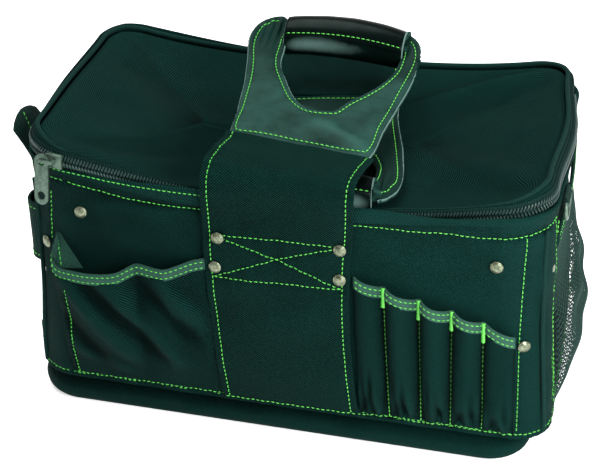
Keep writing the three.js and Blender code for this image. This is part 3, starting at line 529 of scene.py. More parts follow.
# Stitches: short bowed threads, gathered by carrier and made as one piece each
SEAMS = {}
PITCH, STITCH_LENGTH, STITCH_SPREAD, THREAD = 4.0, 3.1, (0.9, 1.05), 0.43
HEM_THREAD, TAPE_THREAD = 0.42, 0.45
TACK_HALF, TACK_SPREAD, TACK_THREAD = 1.7, (0.85, 1.1), 0.6
STITCH_STEP = 0.8
THREAD_SIDES = 5

# One thread's rings: place along it, girth and rise
THREAD_RINGS = ((-1.0, 0.45, -0.55), (-0.62, 0.95, 0.2), (0.0, 1.0, 0.45), (0.62, 0.95, 0.2),
                (1.0, 0.45, -0.55))

# How far each kind of seam draws its cloth in, over what width and with what puckers
DEEP_SEAM = {"depth": 1.1, "width": 2.2, "pucker": 0.45}
WALL_SEAM = {"depth": 0.9, "width": 1.8, "pucker": 0.3}
STRAP_SEAM = {"depth": 0.7, "width": 1.6, "pucker": 0.3}
YOKE_SEAM = {"depth": 0.5, "width": 1.6, "pucker": 0.2}
POCKET_SEAM = {"depth": 0.8, "width": 1.8, "pucker": 0.35}
SLOT_SEAM = {"depth": 0.8, "width": 1.6, "pucker": 0.2}
POCKET_TAPE_SEAM = {"depth": 0.35, "width": 0.9, "pucker": 0.1}
SLOT_TAPE_SEAM = {"depth": 0.3, "width": 0.9, "pucker": 0.1}


def add_threads(group, centre, direction, normal, half, radius):
    radius = np.full(len(centre), radius)
    SEAMS.setdefault(group, []).append((centre, direction, normal, half, radius))


def sew(group, path, normals, radius=THREAD):
    """Stitches in a row along a line."""
    lengths = distances(path)
    count = max(1, int(lengths[-1] / PITCH))
    places = (np.arange(count) + 0.5) * lengths[-1] / count
    ahead, behind = picked(places + STITCH_STEP, lengths, path), picked(places - STITCH_STEP, lengths, path)
    half = STITCH_LENGTH / 2 * RNG.uniform(*STITCH_SPREAD, count)
    normal = unit(picked(places, lengths, normals))
    add_threads(group, picked(places, lengths, path), unit(ahead - behind), normal, half, radius)


def bar_tack(group, places, normals, across):
    """A dense bar of short threads laid side by side."""
    count = len(places)
    half = TACK_HALF * RNG.uniform(*TACK_SPREAD, count)
    add_threads(group, places, np.broadcast_to(across, (count, 3)), normals, half, TACK_THREAD)


def sew_lines(group, surface, lines, draw, lift=0.0, every=1):
    """Draws a surface in along lines of rows and columns, then sews them all."""
    for row, column in lines:
        surface.sink(surface.at(row, column)[0][::every], **draw)
    for row, column in lines:
        sew(group, *surface.at(row, column, lift))


def stitch_shell(seams):
    centre, direction, normal = (np.concatenate([s[k] for s in seams]) for k in range(3))
    half, radius = (np.concatenate([s[k] for s in seams]) for k in (3, 4))
    side = unit(np.cross(direction, normal))
    normal = np.cross(side, direction)
    turn = 2 * np.pi * np.arange(THREAD_SIDES) / THREAD_SIDES
    rings = []
    for along, girth, rise in THREAD_RINGS:
        middle = centre + direction * (along * half)[:, None] + normal * (rise * radius)[:, None]
        spoke = side[:, None] * np.cos(turn)[:, None] + normal[:, None] * np.sin(turn)[:, None]
        rings.append(middle[:, None] + spoke * (girth * radius)[:, None, None])
    shell = Shell()
    index = shell.add(np.stack(rings, 1))
    for i in range(len(THREAD_RINGS) - 1):
        for k in range(THREAD_SIDES):
            n = (k + 1) % THREAD_SIDES
            quads = np.stack([index[:, i, k], index[:, i, n], index[:, i + 1, n], index[:, i + 1, k]], 1)
            shell.faces.append(quads[:, ::-1])
            flat = np.array([(i, k), (i, k + 1), (i + 1, k + 1), (i + 1, k)], float)[::-1]
            shell.maps.append(np.broadcast_to(flat, (len(quads), 4, 2)))
            shell.marks.append(np.zeros(len(quads)))
    return shell


# Shader nodes
def node(tree, kind, **settings):
    made = tree.nodes.new(kind)
    for key, value in settings.items():
        setattr(made, key, value)
    return made


def feed(tree, value, socket):
    """Sets a socket to a number, or links another node's output to it."""
    if isinstance(value, (int, float)):
        socket.default_value = value
    else:
        tree.links.new(value, socket)


def math_node(tree, operation, a, b=None, clamp=False):
    made = node(tree, "ShaderNodeMath", operation=operation, use_clamp=clamp)
    feed(tree, a, made.inputs[0])
    if b is not None:
        feed(tree, b, made.inputs[1])
    return made.outputs[0]


def times(tree, a, b):
    return math_node(tree, "MULTIPLY", a, b)


def waves(tree, turns, count):
    """A sine that goes round a number of times in each turn."""
    return math_node(tree, "SINE", times(tree, turns, count * 2 * math.pi))


def weighted(tree, terms, clamp=False):
    """Values times their weights, added up."""
    parts = [value if weight == 1 else times(tree, value, weight) for value, weight in terms]
    total = parts[0]
    for k, part in enumerate(parts[1:], 2):
        total = math_node(tree, "ADD", total, part, clamp=clamp and k == len(parts))
    return total


def range_node(tree, value, before, after):
    """A value carried from one range to another and held at its ends."""
    mapped = node(tree, "ShaderNodeMapRange")
    mapped.inputs["From Min"].default_value, mapped.inputs["From Max"].default_value = before
    mapped.inputs["To Min"].default_value, mapped.inputs["To Max"].default_value = after
    tree.links.new(value, mapped.inputs["Value"])
    return mapped.outputs[0]


def noise(tree, place, scale, detail=2.0, roughness=0.5):
    made = node(tree, "ShaderNodeTexNoise")
    made.inputs["Detail"].default_value = detail
    made.inputs["Roughness"].default_value = roughness
    feed(tree, scale, made.inputs["Scale"])
    tree.links.new(place, made.inputs["Vector"])
    return made.outputs[0]


def split(tree, vector):
    axes = node(tree, "ShaderNodeSeparateXYZ")
    tree.links.new(vector, axes.inputs[0])
    return axes.outputs


# Shader node groups
NUMBER, VECTOR = "NodeSocketFloat", "NodeSocketVector"

# Weights of a weave's slanting ribs, cross threads and fuzz, its level and how far its ribs wander
RIB_HEIGHT, CROSS_HEIGHT, FUZZ_HEIGHT, WEAVE_LEVEL, RIB_WANDER = 0.6, 0.24, 0.3, 0.4, 0.55
FUZZ_SCALE, LINT_SCALE, LINT_SPOTS = 260.0, 900.0, (0.42, 0.72)

# Painted light and shade on the front's cloth, darker to the left and paler to the right: places in metres,
# and tones
SIDE_LIGHT_ACROSS, SIDE_LIGHT_TONES, SIDE_LIGHT_FRONT = (-0.18, 0.14), (-0.4, 0.22), (-0.122, -0.095)

# Weights of leatherette's pebbles and creases, and of the marks in metal
PEBBLE_HEIGHT, CREASE_HEIGHT, CREASE_SCALE = 0.5, 0.9, 70.0
MARK_HEIGHT, MARK_SCALE, PIT_SCALE = 0.5, 420.0, 1800.0


def new_group(name, inputs, outputs):
    tree = bpy.data.node_groups.new(name, "ShaderNodeTree")
    for label, kind in inputs:
        tree.interface.new_socket(name=label, in_out="INPUT", socket_type=kind)
    for label in outputs:
        tree.interface.new_socket(name=label, in_out="OUTPUT", socket_type=NUMBER)
    start = tree.nodes.new("NodeGroupInput")
    end = tree.nodes.new("NodeGroupOutput")
    return tree, start.outputs, end.inputs


def weave_group():
    """Slanting twill lines crossed by the fine threads, from the cloth map."""
    tree, start, end = new_group("Twill weave", [("Map", VECTOR), ("Lines", NUMBER), ("Slant", NUMBER)],
                                 ["Height", "Shade"])
    axes = split(tree, start["Map"])
    fuzz = noise(tree, start["Map"], FUZZ_SCALE, detail=3.0)
    place = math_node(tree, "ADD", axes[0], times(tree, axes[1], start["Slant"]))
    turns = weighted(tree, [(times(tree, place, start["Lines"]), 1), (fuzz, RIB_WANDER)])
    ribs = waves(tree, turns, 1)
    cross = waves(tree, times(tree, axes[1], start["Lines"]), 2)
    height = weighted(tree, [(ribs, RIB_HEIGHT), (cross, CROSS_HEIGHT), (fuzz, FUZZ_HEIGHT),
                             (WEAVE_LEVEL, 1)])
    tree.links.new(height, end["Height"])
    tree.links.new(range_node(tree, height, (0.0, 1.0), (0.0, 1.0)), end["Shade"])
    return tree


def dye_and_shade_group():
    """Uneven dye and lint, with the painted shade of folds and painted light and shade across the front."""
    tree, start, end = new_group("Uneven dye and painted shade", [("Place", VECTOR), ("Size", NUMBER)],
                                 ["Patch", "Lint", "Painted shade and highlight", "Fade"])
    tree.links.new(noise(tree, start["Place"], start["Size"], detail=5.0, roughness=0.6), end["Patch"])
    lint = noise(tree, start["Place"], LINT_SCALE)
    tree.links.new(range_node(tree, lint, LINT_SPOTS, (0.0, 1.0)), end["Lint"])
    # Painted shade and highlight, read from the pieces' attribute
    fold = node(tree, "ShaderNodeAttribute", attribute_name=SHADE_AND_HIGHLIGHT_ATTRIBUTE)
    tree.links.new(fold.outputs["Fac"], end["Painted shade and highlight"])
    # Painted light and shade across the front: darker to the left, paler to the right
    axes = split(tree, start["Place"])
    rightward = range_node(tree, axes[0], SIDE_LIGHT_ACROSS, SIDE_LIGHT_TONES)
    on_front = range_node(tree, axes[1], SIDE_LIGHT_FRONT, (1.0, 0.0))
    tree.links.new(times(tree, rightward, on_front), end["Fade"])
    return tree


def grain_group():
    """Pebbled leatherette grain with fine creases."""
    tree, start, end = new_group("Leatherette grain", [("Place", VECTOR), ("Size", NUMBER)],
                                 ["Height", "Crease"])
    pebbles = node(tree, "ShaderNodeTexVoronoi", feature="SMOOTH_F1")
    tree.links.new(start["Place"], pebbles.inputs["Vector"])
    tree.links.new(start["Size"], pebbles.inputs["Scale"])
    creases = noise(tree, start["Place"], CREASE_SCALE, detail=6.0, roughness=0.65)
    height = weighted(tree, [(pebbles.outputs["Distance"], PEBBLE_HEIGHT), (creases, CREASE_HEIGHT)])
    tree.links.new(height, end["Height"])
    tree.links.new(creases, end["Crease"])
    return tree


def metal_group():
    """Brush marks and small pits on cast metal."""
    tree, start, end = new_group("Metal wear", [("Place", VECTOR)], ["Wear", "Height"])
    marks = noise(tree, start["Place"], MARK_SCALE, detail=5.0)
    pits = noise(tree, start["Place"], PIT_SCALE)
    tree.links.new(marks, end["Wear"])
    tree.links.new(weighted(tree, [(marks, MARK_HEIGHT), (pits, 1)]), end["Height"])
    return tree


WEAVE, DYE_AND_SHADE, GRAIN, METAL = weave_group(), dye_and_shade_group(), grain_group(), metal_group()

# Tones of woven cloth: weights of patches and lint, swing of roughness, ramp's ends and tints
PATCH_TONE, LINT_TONE, CLOTH_SWING, CLOTH_RAMP = 0.3, 0.35, 0.2, (0.4, 1.0)
CLOTH_TINT, SHEEN, SHEEN_TINT, SHEEN_ROUGHNESS = (0.4, 1.0, 0.85), 0.01, (0.55, 0.8, 0.72), 0.45
CLOTH_PATCHES = 14.0

# Tones of leatherette, plain and with a painted highlight: weights of creases and patches, and ramps
LEATHER_TONE, LEATHER_RAMP = 0.5, (0.3, 0.72)
HIGHLIGHTED_TONE, HIGHLIGHTED_RAMP = 0.18, (0.1, 0.25, 0.75)
LEATHER_TINT, LEATHER_SWING, LEATHER_PATCHES, LEATHER_STRENGTH = (0.7, 1.0, 0.92), 0.3, 22.0, 0.7
COAT_ROUGHNESS = 0.35

# Tones of metal
METALLIC, METAL_RAMP, METAL_SWING, METAL_DEPTH, METAL_STRENGTH = 0.9, (0.35, 0.68), 0.35, 0.00012, 0.6
METAL_LEAST = 0.15


def use_group(tree, group, **values):
    """Places a group in a material with its own values."""
    made = node(tree, "ShaderNodeGroup", node_tree=group)
    for label, value in values.items():
        feed(tree, value, made.inputs[label])
    return made.outputs


def new_material(name, rough, sheen=0.0, metallic=0.0, specular=0.5, tint=(1, 1, 1)):
    material = bpy.data.materials.new(name)
    material.use_nodes = True
    tree = material.node_tree
    shader = tree.nodes["Principled BSDF"]
    shader.inputs["Roughness"].default_value = rough
    shader.inputs["Metallic"].default_value = metallic
    shader.inputs["Specular IOR Level"].default_value = specular
    shader.inputs["Specular Tint"].default_value = (*tint, 1)
    shader.inputs["Sheen Weight"].default_value = sheen
    shader.inputs["Sheen Roughness"].default_value = SHEEN_ROUGHNESS
    return material, tree, shader


def colour_by(tree, shader, tone, places, colours):
    """Base colour from a ramp of tones."""
    made = node(tree, "ShaderNodeValToRGB")
    elements = made.color_ramp.elements
    stops = list(zip(places, colours))
    for element, (place, colour) in zip(elements, stops):
        element.position = place
        element.color = (*colour, 1)
    for place, colour in stops[2:]:
        elements.new(place).color = (*colour, 1)
    tree.links.new(tone, made.inputs[0])
    tree.links.new(made.outputs[0], shader.inputs["Base Color"])


def rough_by(tree, shader, value, swing, least):
    """Roughness that rises from its least with a value."""
    tree.links.new(weighted(tree, [(value, swing), (least, 1)]), shader.inputs["Roughness"])


def bump_by(tree, shader, height, depth, strength=1.0):
    made = node(tree, "ShaderNodeBump")
    made.inputs["Strength"].default_value = strength
    made.inputs["Distance"].default_value = depth
    tree.links.new(height, made.inputs["Height"])
    tree.links.new(made.outputs[0], shader.inputs["Normal"])


def woven(name, dark, light, lines, slant, rough=0.85, depth=0.00045, specular=0.04, fold=0.42):
    """Cloth, tape, webbing or thread."""
    material, tree, shader = new_material(name, rough, sheen=SHEEN, specular=specular, tint=CLOTH_TINT)
    shader.inputs["Sheen Tint"].default_value = (*SHEEN_TINT, 1)
    cloth_map = node(tree, "ShaderNodeUVMap", uv_map=MAP).outputs[0]
    place = node(tree, "ShaderNodeTexCoord").outputs["Object"]
    weave = use_group(tree, WEAVE, Map=cloth_map, Lines=lines, Slant=slant)
    dyed_and_shaded = use_group(tree, DYE_AND_SHADE, Place=place, Size=CLOTH_PATCHES)
    # Tone: weave, dye patches and lint, with painted light across the front and painted fold shade
    tone = weighted(tree, [(weave["Shade"], 1), (dyed_and_shaded["Patch"], PATCH_TONE), (dyed_and_shaded["Fade"], 1),
                           (dyed_and_shaded["Lint"], LINT_TONE), (dyed_and_shaded["Painted shade and highlight"], fold)], clamp=True)
    colour_by(tree, shader, tone, CLOTH_RAMP, (dark, light))
    rough_by(tree, shader, dyed_and_shaded["Patch"], CLOTH_SWING, rough - CLOTH_SWING / 2)
    bump_by(tree, shader, weave["Height"], depth)
    return material


def grained(name, dark, light, rough, depth=0.0003, size=900.0, specular=0.5, fold=0.2, coat=0.0,
            painted_highlight=None):
    """Leatherette, its raw edge or nylon, with a painted highlight colour where its painted shade value is
    high.
    """
    material, tree, shader = new_material(name, rough, specular=specular, tint=LEATHER_TINT)
    shader.inputs["Coat Weight"].default_value = coat
    shader.inputs["Coat Roughness"].default_value = COAT_ROUGHNESS
    place = node(tree, "ShaderNodeTexCoord").outputs["Object"]
    grain = use_group(tree, GRAIN, Place=place, Size=size)
    dyed_and_shaded = use_group(tree, DYE_AND_SHADE, Place=place, Size=LEATHER_PATCHES)
    uneven = HIGHLIGHTED_TONE if painted_highlight else LEATHER_TONE
    tone = weighted(tree, [(grain["Crease"], uneven), (dyed_and_shaded["Patch"], uneven), (dyed_and_shaded["Painted shade and highlight"], fold)],
                    clamp=True)
    if painted_highlight:
        colour_by(tree, shader, tone, HIGHLIGHTED_RAMP, (dark, light, painted_highlight))
    else:
        colour_by(tree, shader, tone, LEATHER_RAMP, (dark, light))
    rough_by(tree, shader, grain["Crease"], LEATHER_SWING, rough - LEATHER_SWING / 2)
    bump_by(tree, shader, grain["Height"], depth, LEATHER_STRENGTH)
    return material


def worn_metal(name, dark, light, rough):
    """Cast or pressed metal with brush marks."""
    material, tree, shader = new_material(name, rough, metallic=METALLIC)
    place = node(tree, "ShaderNodeTexCoord").outputs["Object"]
    wear = use_group(tree, METAL, Place=place)
    colour_by(tree, shader, wear["Wear"], METAL_RAMP, (dark, light))
    rough_by(tree, shader, wear["Wear"], METAL_SWING, rough - METAL_LEAST)
    bump_by(tree, shader, wear["Height"], METAL_DEPTH, METAL_STRENGTH)
    return material


# Finishes: dark and light tones, then lines of weave in a metre and their slant for cloth
dark_twill = woven("dark_twill", (0.0001, 0.0022, 0.0018), (0.0034, 0.0235, 0.0195), 480.0, 1.0)
lid_twill = woven("lid_twill", (0.0001, 0.0022, 0.0018), (0.0032, 0.0235, 0.0195), 480.0, -1.0, fold=0.16)
strap_twill = woven("strap_twill", (0.0001, 0.002, 0.0016), (0.0028, 0.0205, 0.0165), 500.0, -1.0)
piping_cloth = woven("piping_cloth", (0.0014, 0.007, 0.006), (0.008, 0.032, 0.027), 700.0, 1.0, depth=0.0002)
grey_tape = woven("grey_tape", (0.010, 0.036, 0.026), (0.044, 0.115, 0.086), 1400.0, 0.0,
                  rough=0.8, depth=0.0003)
black_webbing = woven("black_webbing", (0.0015, 0.006, 0.005), (0.010, 0.030, 0.025), 420.0, 0.0,
                      depth=0.0005)
net_thread = woven("net_thread", (0.007, 0.02, 0.017), (0.036, 0.072, 0.062), 900.0, 1.0, depth=0.0001)
zip_cloth = woven("zip_cloth", (0.0015, 0.007, 0.006), (0.009, 0.03, 0.026), 700.0, 0.0)
lime_thread = woven("lime_thread", (0.024, 0.265, 0.021), (0.135, 0.5, 0.09), 0.25 / MM, 1.0,
                    rough=0.55, depth=0.0001, specular=0.2)
leatherette = grained("dark_leatherette", (0.0026, 0.015, 0.0115), (0.015, 0.054, 0.042), 0.5, specular=0.07)
# The grip's third colour is a painted highlight
grip_leatherette = grained("grip_leatherette", (0.0003, 0.0018, 0.0014), (0.0012, 0.0045, 0.0036), 0.28,
                           depth=0.0001, specular=0.06, fold=0.5, painted_highlight=(0.10, 0.18, 0.16))
raw_edge = grained("raw_edge", (0.06, 0.12, 0.105), (0.16, 0.25, 0.225), 0.8,
                   depth=0.0004, size=2400.0, specular=0.2)
zip_nylon = grained("zip_nylon", (0.0035, 0.012, 0.0105), (0.017, 0.041, 0.036), 0.4,
                    depth=0.0001, specular=0.3, coat=0.1)
slider_metal = worn_metal("slider_metal", (0.07, 0.115, 0.088), (0.13, 0.19, 0.15), 0.45)
rivet_metal = worn_metal("rivet_metal", (0.08, 0.10, 0.06), (0.24, 0.265, 0.185), 0.36)

# Walls: stations round them and levels up them
FACE_STEPS, SIDE_STEPS, CORNER_STEPS, LEVEL_STEPS = 112, 66, 18, 92
HEM, BOTTOM_SEAM, TOP_SEAM, LIP_START, WALL_TOP = 26.0, 30.0, 203.0, 214.5, 217.5


def stations_round():
    parts = []
    for whole in range(8):
        steps = CORNER_STEPS if whole % 2 else (SIDE_STEPS if whole % 4 == 2 else FACE_STEPS)
        parts.append(whole + np.arange(steps) / steps)
    return np.concatenate(parts)


ROUND = stations_round()
LEVELS = np.linspace(HEM, LIP_START, LEVEL_STEPS)
LINING_LEVELS = (WALL_TOP - 8, 190, 150, 110, 70, 40, HEM)

# How far the wall's top edge stands up before the zip along the front, by its place from the left
LIP_PLACES = (-196, -167, -133, -97, -64, 0, 55, 85, 117, 168, 200)
LIP_RISES = (0, 1.5, 3.5, 8.5, 12, 12, 10, 8.5, 4.5, 3, 0)
LIP_END, LIP_FULL = (-104, -60), 8.0

# Rows over the top edge: offset where it is low, rise, offset where it stands up and share of the lip's rise
LIP_ROWS = ((0.4, -2.0, 0.9, 0.12), (0.5, -0.9, 1.7, 0.45), (0.4, 0.1, 2.3, 0.8), (-0.3, 0.9, 2.2, 1.0),
            (-1.3, 1.1, 1.2, 1.05), (-2.3, 0.6, -0.1, 0.95), (-3.0, -0.6, -1.4, 0.7))
LIP_STITCH_ROW, LIP_STITCHES = 2.0, (-194, -57)

# Waves in the cloth by length, upright squeeze and height, and the heights between which it is free to wave
WALL_WAVES, WALL_SEED = ((75, 0.6, 1.2), (34, 1, 0.45)), 3
EDGE_WAVES, EDGE_SEED, EDGE_FREE = ((60, 0.2, 0.7),), 5, (205, 212)
FRONT_FREE, SIDES_FREE, SIDES_SLACK = ((140, 170), (196, 204)), ((30, 60), (190, 204)), 1.3
FRONT_FROM, FRONT_TO = 7.4, 1.6
HEM_OUT, HEM_REACH, WALL_FLAT = 1.6, 12, 0.195

# The top seam climbs to the left end and dips a little right of the strap
SEAM_CLIMB, SEAM_CLIMB_RUN = 8.0, (90, 178)
SEAM_DIP, SEAM_DIP_RUN = 3.0, ((30, 110), (150, 200))
SEAM_POINTS, SEAM_ROUND, THREAD_LIFT = 1400, 7.999, 0.1
WALL_LINE_POINTS, LIP_POINTS = 200, 240

# Single lines of stitches on the walls, by face, with their two ends
WALL_LINES = (
    (FRONT, (-181, 202), (-185, 158)),
    (FRONT, (185, 201), (180.5, 33)),
    (RIGHT, (-86, 205), (-86, 42)),
)


def top_seam_level(station):
    x, _ = outline(body_size(TOP_SEAM), station, 0.0)
    return TOP_SEAM + SEAM_CLIMB * smooth(-x, *SEAM_CLIMB_RUN) - SEAM_DIP * window(x, *SEAM_DIP_RUN)


def station_on(face, along, z):
    """The station round the wall at a distance along one face."""
    size = body_size(z)
    flat = face_size(size, face)[0] - size["corner"]
    turn = np.arcsin(np.clip((np.abs(along) - flat) / size["corner"], 0, 1)) * 2 / np.pi
    beyond = np.where(along > 0, 1 + turn, -turn)
    return (2 * face + np.where(np.abs(along) <= flat, (along + flat) / (2 * flat), beyond)) % 8


def column_of(station):
    return np.interp(station, ROUND, np.arange(len(ROUND)))


def wall_surface():
    """The outer cloth of the walls, with its lip and its waves."""
    s, z = np.meshgrid(ROUND, LEVELS)
    levels = on_wall(s, z, 0.0)
    lip = np.interp(levels[-1, :, 0], LIP_PLACES, LIP_RISES) * (1 - smooth(levels[-1, :, 1], *LIP_END))
    roll = smooth(lip, 0, LIP_FULL)
    lip_rings = []
    for offset, rise, roll_offset, share in LIP_ROWS:
        ring = on_wall(ROUND, WALL_TOP, lerp(offset, roll_offset, roll))
        ring[..., 2] += rise + share * lip
        lip_rings.append(ring)
    wall = Surface(np.concatenate([levels, lip_rings]), wrap=True)
    height = np.concatenate([z, np.full((len(LIP_ROWS), len(ROUND)), WALL_TOP)])
    s = np.broadcast_to(ROUND, height.shape)
    on_front = (s < FRONT_TO) | (s > FRONT_FROM)
    free = np.where(on_front, window(height, *FRONT_FREE), window(height, *SIDES_FREE) * SIDES_SLACK)
    waved = free * swells(wall.points, WALL_WAVES, WALL_SEED)
    edge_waved = swells(wall.points, EDGE_WAVES, EDGE_SEED) * smooth(height, *EDGE_FREE)
    overhang = HEM_OUT * (1 - smooth(height, BOTTOM_SEAM, BOTTOM_SEAM + HEM_REACH))
    wall.push(waved + edge_waved + overhang)
    return wall


def build_walls():
    wall = wall_surface()

    def at(station, level):
        row = np.interp(level, LEVELS, np.arange(len(LEVELS)))
        return wall.at(row, column_of(station), THREAD_LIFT)
    around = np.linspace(0, SEAM_ROUND, SEAM_POINTS)
    seams = [(around, top_seam_level(around)), (around, np.full_like(around, BOTTOM_SEAM))]
    for station, level in seams:
        wall.sink(at(station, level)[0][::2], **DEEP_SEAM)
    for station, level in seams:
        sew("wall", *at(station, level))
    for face, start, end in WALL_LINES:
        along, level = straight(start, end, WALL_LINE_POINTS)
        station = station_on(face, along, level)
        wall.sink(at(station, level)[0], **WALL_SEAM)
        sew("wall", *at(station, level))
    edge = np.linspace(*LIP_STITCHES, LIP_POINTS)
    column = column_of(station_on(FRONT, edge, np.full_like(edge, WALL_TOP)))
    column = column[column < len(ROUND) - 2]
    sew("wall", *wall.at(len(LEVELS) + LIP_STITCH_ROW, column, THREAD_LIFT))
    lining = on_wall(*np.meshgrid(ROUND, np.array(LINING_LEVELS)), -WALL)
    # Painted fold shade on the outer cloth, none on the lining
    folds = np.concatenate([wall.folds(), np.zeros(lining.shape[:2])])
    shell = Shell()
    index = shell.add(np.concatenate([wall.points, lining]), folds)
    shell.join(index, wrap_rows=True, wrap_columns=True)
    piece = make_piece("wall_cloth", shell, [dark_twill], ["body_walls"])
    girth = run_length(wall.points[len(LEVELS) // 2])


# Base: its section by inset and height, up the outside and down the inside
BASE_PROFILE = (
    (4.6, 0), (0.6, 2.2), (-1.8, 6), (-2.3, 10), (-1.2, 14.5), (2.2, 18.5), (5.4, 21.2), (6.4, 25), (5.6, 29),
    (4.4, 33), (3.9, 40), (5.7, 40), (8.6, 28), (8.4, 22), (5.2, 17), (2.0, 11), (2.6, 7), (6.4, 3.2))
BASE_CORNER = 34.0
BASE_WAVES, BASE_SEED, BASE_FREE = ((46, 1, 0.9), (20, 0.3, 0.35)), 11, ((2, 8), (19, 25))
# Painted shadow on the base: darker up its neck under the overhanging hem, a little paler at its foot
BASE_PAINTED_SHADE, BASE_SHADE_RUN = (0.3, -1.0), (11, 19)


def build_base():
    profile = refined(np.array(BASE_PROFILE, float), 3)
    size = body_size(HEM)
    size.update(corner=BASE_CORNER, front_bow=0.0, right_bow=0.0, left_bow=0.0)
    rings = []
    for inset, z in profile:
        if z > HEM:
            rings.append(on_wall(ROUND, z, -inset))
        else:
            x, y = outline(size, ROUND, inset)
            level = np.full_like(x, max(z, 0.0))
            rings.append(np.stack([x * BASE_STRETCH + BASE_SHIFT, y - FOOT_TURN * x, level], -1))
    base = np.array(rings)
    free = window(base[..., 2], *BASE_FREE)
    free[len(profile) // 2:] = 0
    spread = free * swells(base, BASE_WAVES, BASE_SEED)
    away = unit((base - base.mean(axis=(0, 1))) * (1, 1, 0))
    base = base + away * spread[..., None]
    shell = Shell()
    index = shell.add(base, lerp(*BASE_PAINTED_SHADE, smooth(base[..., 2], *BASE_SHADE_RUN)))
    shell.join(index, wrap_columns=True)
    shell.fan(index[0])
    shell.fan(index[-1], flip=True)
    make_piece("base_cloth", shell, [dark_twill], ["base_tub"])


# Lid: insets of its rows from the rim, and the fill of its pad
LID_EDGE, LID_FILL = 11.2, 0.35
LID_INSETS = np.concatenate([np.linspace(LID_EDGE, 40, 18), np.linspace(43, 117, 30)])
LID_SLACK, FOLD_SLACK, WAVE_SLACK = 60, 30, 45
LID_WAVES, LID_SEED = ((85, 1, 1.3), (38, 1, 0.5)), 21
LID_GROOVE, LID_GROOVE_WIDTH = 1.6, 2.2
LID_UNDER_STEP = 6

# Folds in the lid: two ends in plan, width and height
LID_FOLDS = (
    ((197, 113), (66, 62), 5, 4.2),
    ((190, 118), (60, 82), 9, -2.6),
    ((199, 96), (70, 34), 12, -2.6),
    ((-190, -104), (-80, -30), 10, -2.2),
    ((-176, -108), (-60, -52), 9, 1.8),
    ((-196, 60), (-90, 20), 12, -2.0),
    ((190, -100), (90, -40), 11, -2.4),
    ((196, -84), (110, -20), 9, 1.8),
    ((70, 110), (60, 20), 14, -1.6),
    ((-60, 108), (-70, 10), 16, -1.4),
)

# Rows of the lid's edge band, its underside and its cord: inset, height and share of the lid's sag
BAND_ROWS = ((5.0, 231.6, 0.0), (5.4, 233.4, 0.1), (6.2, 235.2, 0.6), (7.4, 235.6, 1.0))
BAND_UNDER = ((7.4, 232.4, 1.0), (5.7, 230.4, 0.0))
CORD_ROW, CORD_RADIUS, CORD_SIDES = (8.8, 236.4, 1.0), 2.0, 10


def build_lid():
    s, inset = np.meshgrid(ROUND, LID_INSETS)
    x, y, _ = closing(s, inset)
    dip = LID_DIP * smooth(inset, CORD_ROW[0], LID_SLACK) * sag_share(x, 2)
    z = RIM_HEIGHT - lid_drop(x, y) - dip
    for fold in LID_FOLDS:
        z = z + ridge(x, y, *fold) * smooth(inset, LID_EDGE, FOLD_SLACK)
    waved = swells(np.stack([x, y, z], -1), LID_WAVES, LID_SEED) * smooth(inset, LID_EDGE, WAVE_SLACK)
    z = z + waved - LID_GROOVE * bell(inset, LID_EDGE, LID_GROOVE_WIDTH)
    top = np.stack([x, y, z], -1)
    shell = Shell()
    # Painted fold shade on the lid's top
    upper = shell.add(top, Surface(top, wrap=True).folds())
    lower = shell.add(top[::LID_UNDER_STEP] - (0, 0, LID_PAD))
    shell.join(upper, wrap_columns=True)
    shell.fan(upper[-1], flip=True)
    shell.join(lower, wrap_columns=True, flip=True)
    shell.fan(lower[-1])
    shell.join(np.stack([lower[0], upper[0]]), wrap_columns=True)
    panel = make_piece("lid_pad", shell, [lid_twill], ["lid_panel"])


def rim_line(inset, z, lid):
    x, y, dip = closing(ROUND, inset)
    return np.stack([x, y, z - lerp(rim_drop(x, y) + dip, lid_drop(x, y), lid)], -1)


def build_lid_edge():
    rows = np.concatenate([refined(np.array(BAND_ROWS), 4), BAND_UNDER])
    shell = Shell()
    index = shell.add(np.array([rim_line(*row) for row in rows]))
    shell.join(index, wrap_rows=True, wrap_columns=True)
    make_piece("lid_edge_band", shell, [lid_twill], ["lid_band"])
    shell = tube_shell(rim_line(*CORD_ROW), CORD_RADIUS, CORD_SIDES, closed=True)
    make_piece("lid_cord", shell, [piping_cloth], ["lid_piping"])


# Zip: inset and height of its two edges, and the end stations of its tape, its chain and the hinge strip
TAPE_LOW, TAPE_HIGH, TAPE_THICK = (3.7, 218.0), (4.1, 232.0), 1.2
TAPE_RUN, CHAIN_RUN, HINGE_RUN = (6.1, 10.9), (6.12, 10.88), (2.905, 6.095)
TAPE_STEP, CHAIN_STEP, STATION_AHEAD = 0.012, 0.002, 0.01
TAPE_PARTS = (0.0, 0.12, 0.3, 0.46, 0.5, 0.54, 0.7, 0.88, 1.0)
TAPE_LIFTS = (0.1, 0.5, 0.6, 0.5, 0.2, 0.5, 0.6, 0.5, 0.1)
HINGE_LIFTS = (0, 0.4, 0.7, 0.8, 0.7, 0.4, 0)
TOOTH_PITCH, TOOTH_LENGTH, TOOTH_RADIUS, TOOTH_ROW = 2.5, 5.2, 0.9, 2.7
TOOTH_SLANT, TOOTH_LIFT, CHAIN_END = 0.42, 1.5, 1.0


def zip_frame(station):
    """The zip's lower edge at stations, its up, out and ahead directions and its width."""
    station = np.asarray(station, float) % 8

    def edge(inset, z):
        x, y, dip = closing(station, inset)
        return sagged(x, y, np.full_like(x, z)) - np.stack([0 * x, 0 * x, dip], -1)
    low, high = edge(*TAPE_LOW), edge(*TAPE_HIGH)
    ahead_x, ahead_y, _ = closing((station + STATION_AHEAD) % 8, TAPE_LOW[0])
    ahead = unit(np.stack([ahead_x - low[..., 0], ahead_y - low[..., 1], np.zeros_like(ahead_x)], -1))
    width = np.linalg.norm(high - low, axis=-1)
    up = unit(high - low)
    return low, up, unit(np.cross(ahead, up)), ahead, width


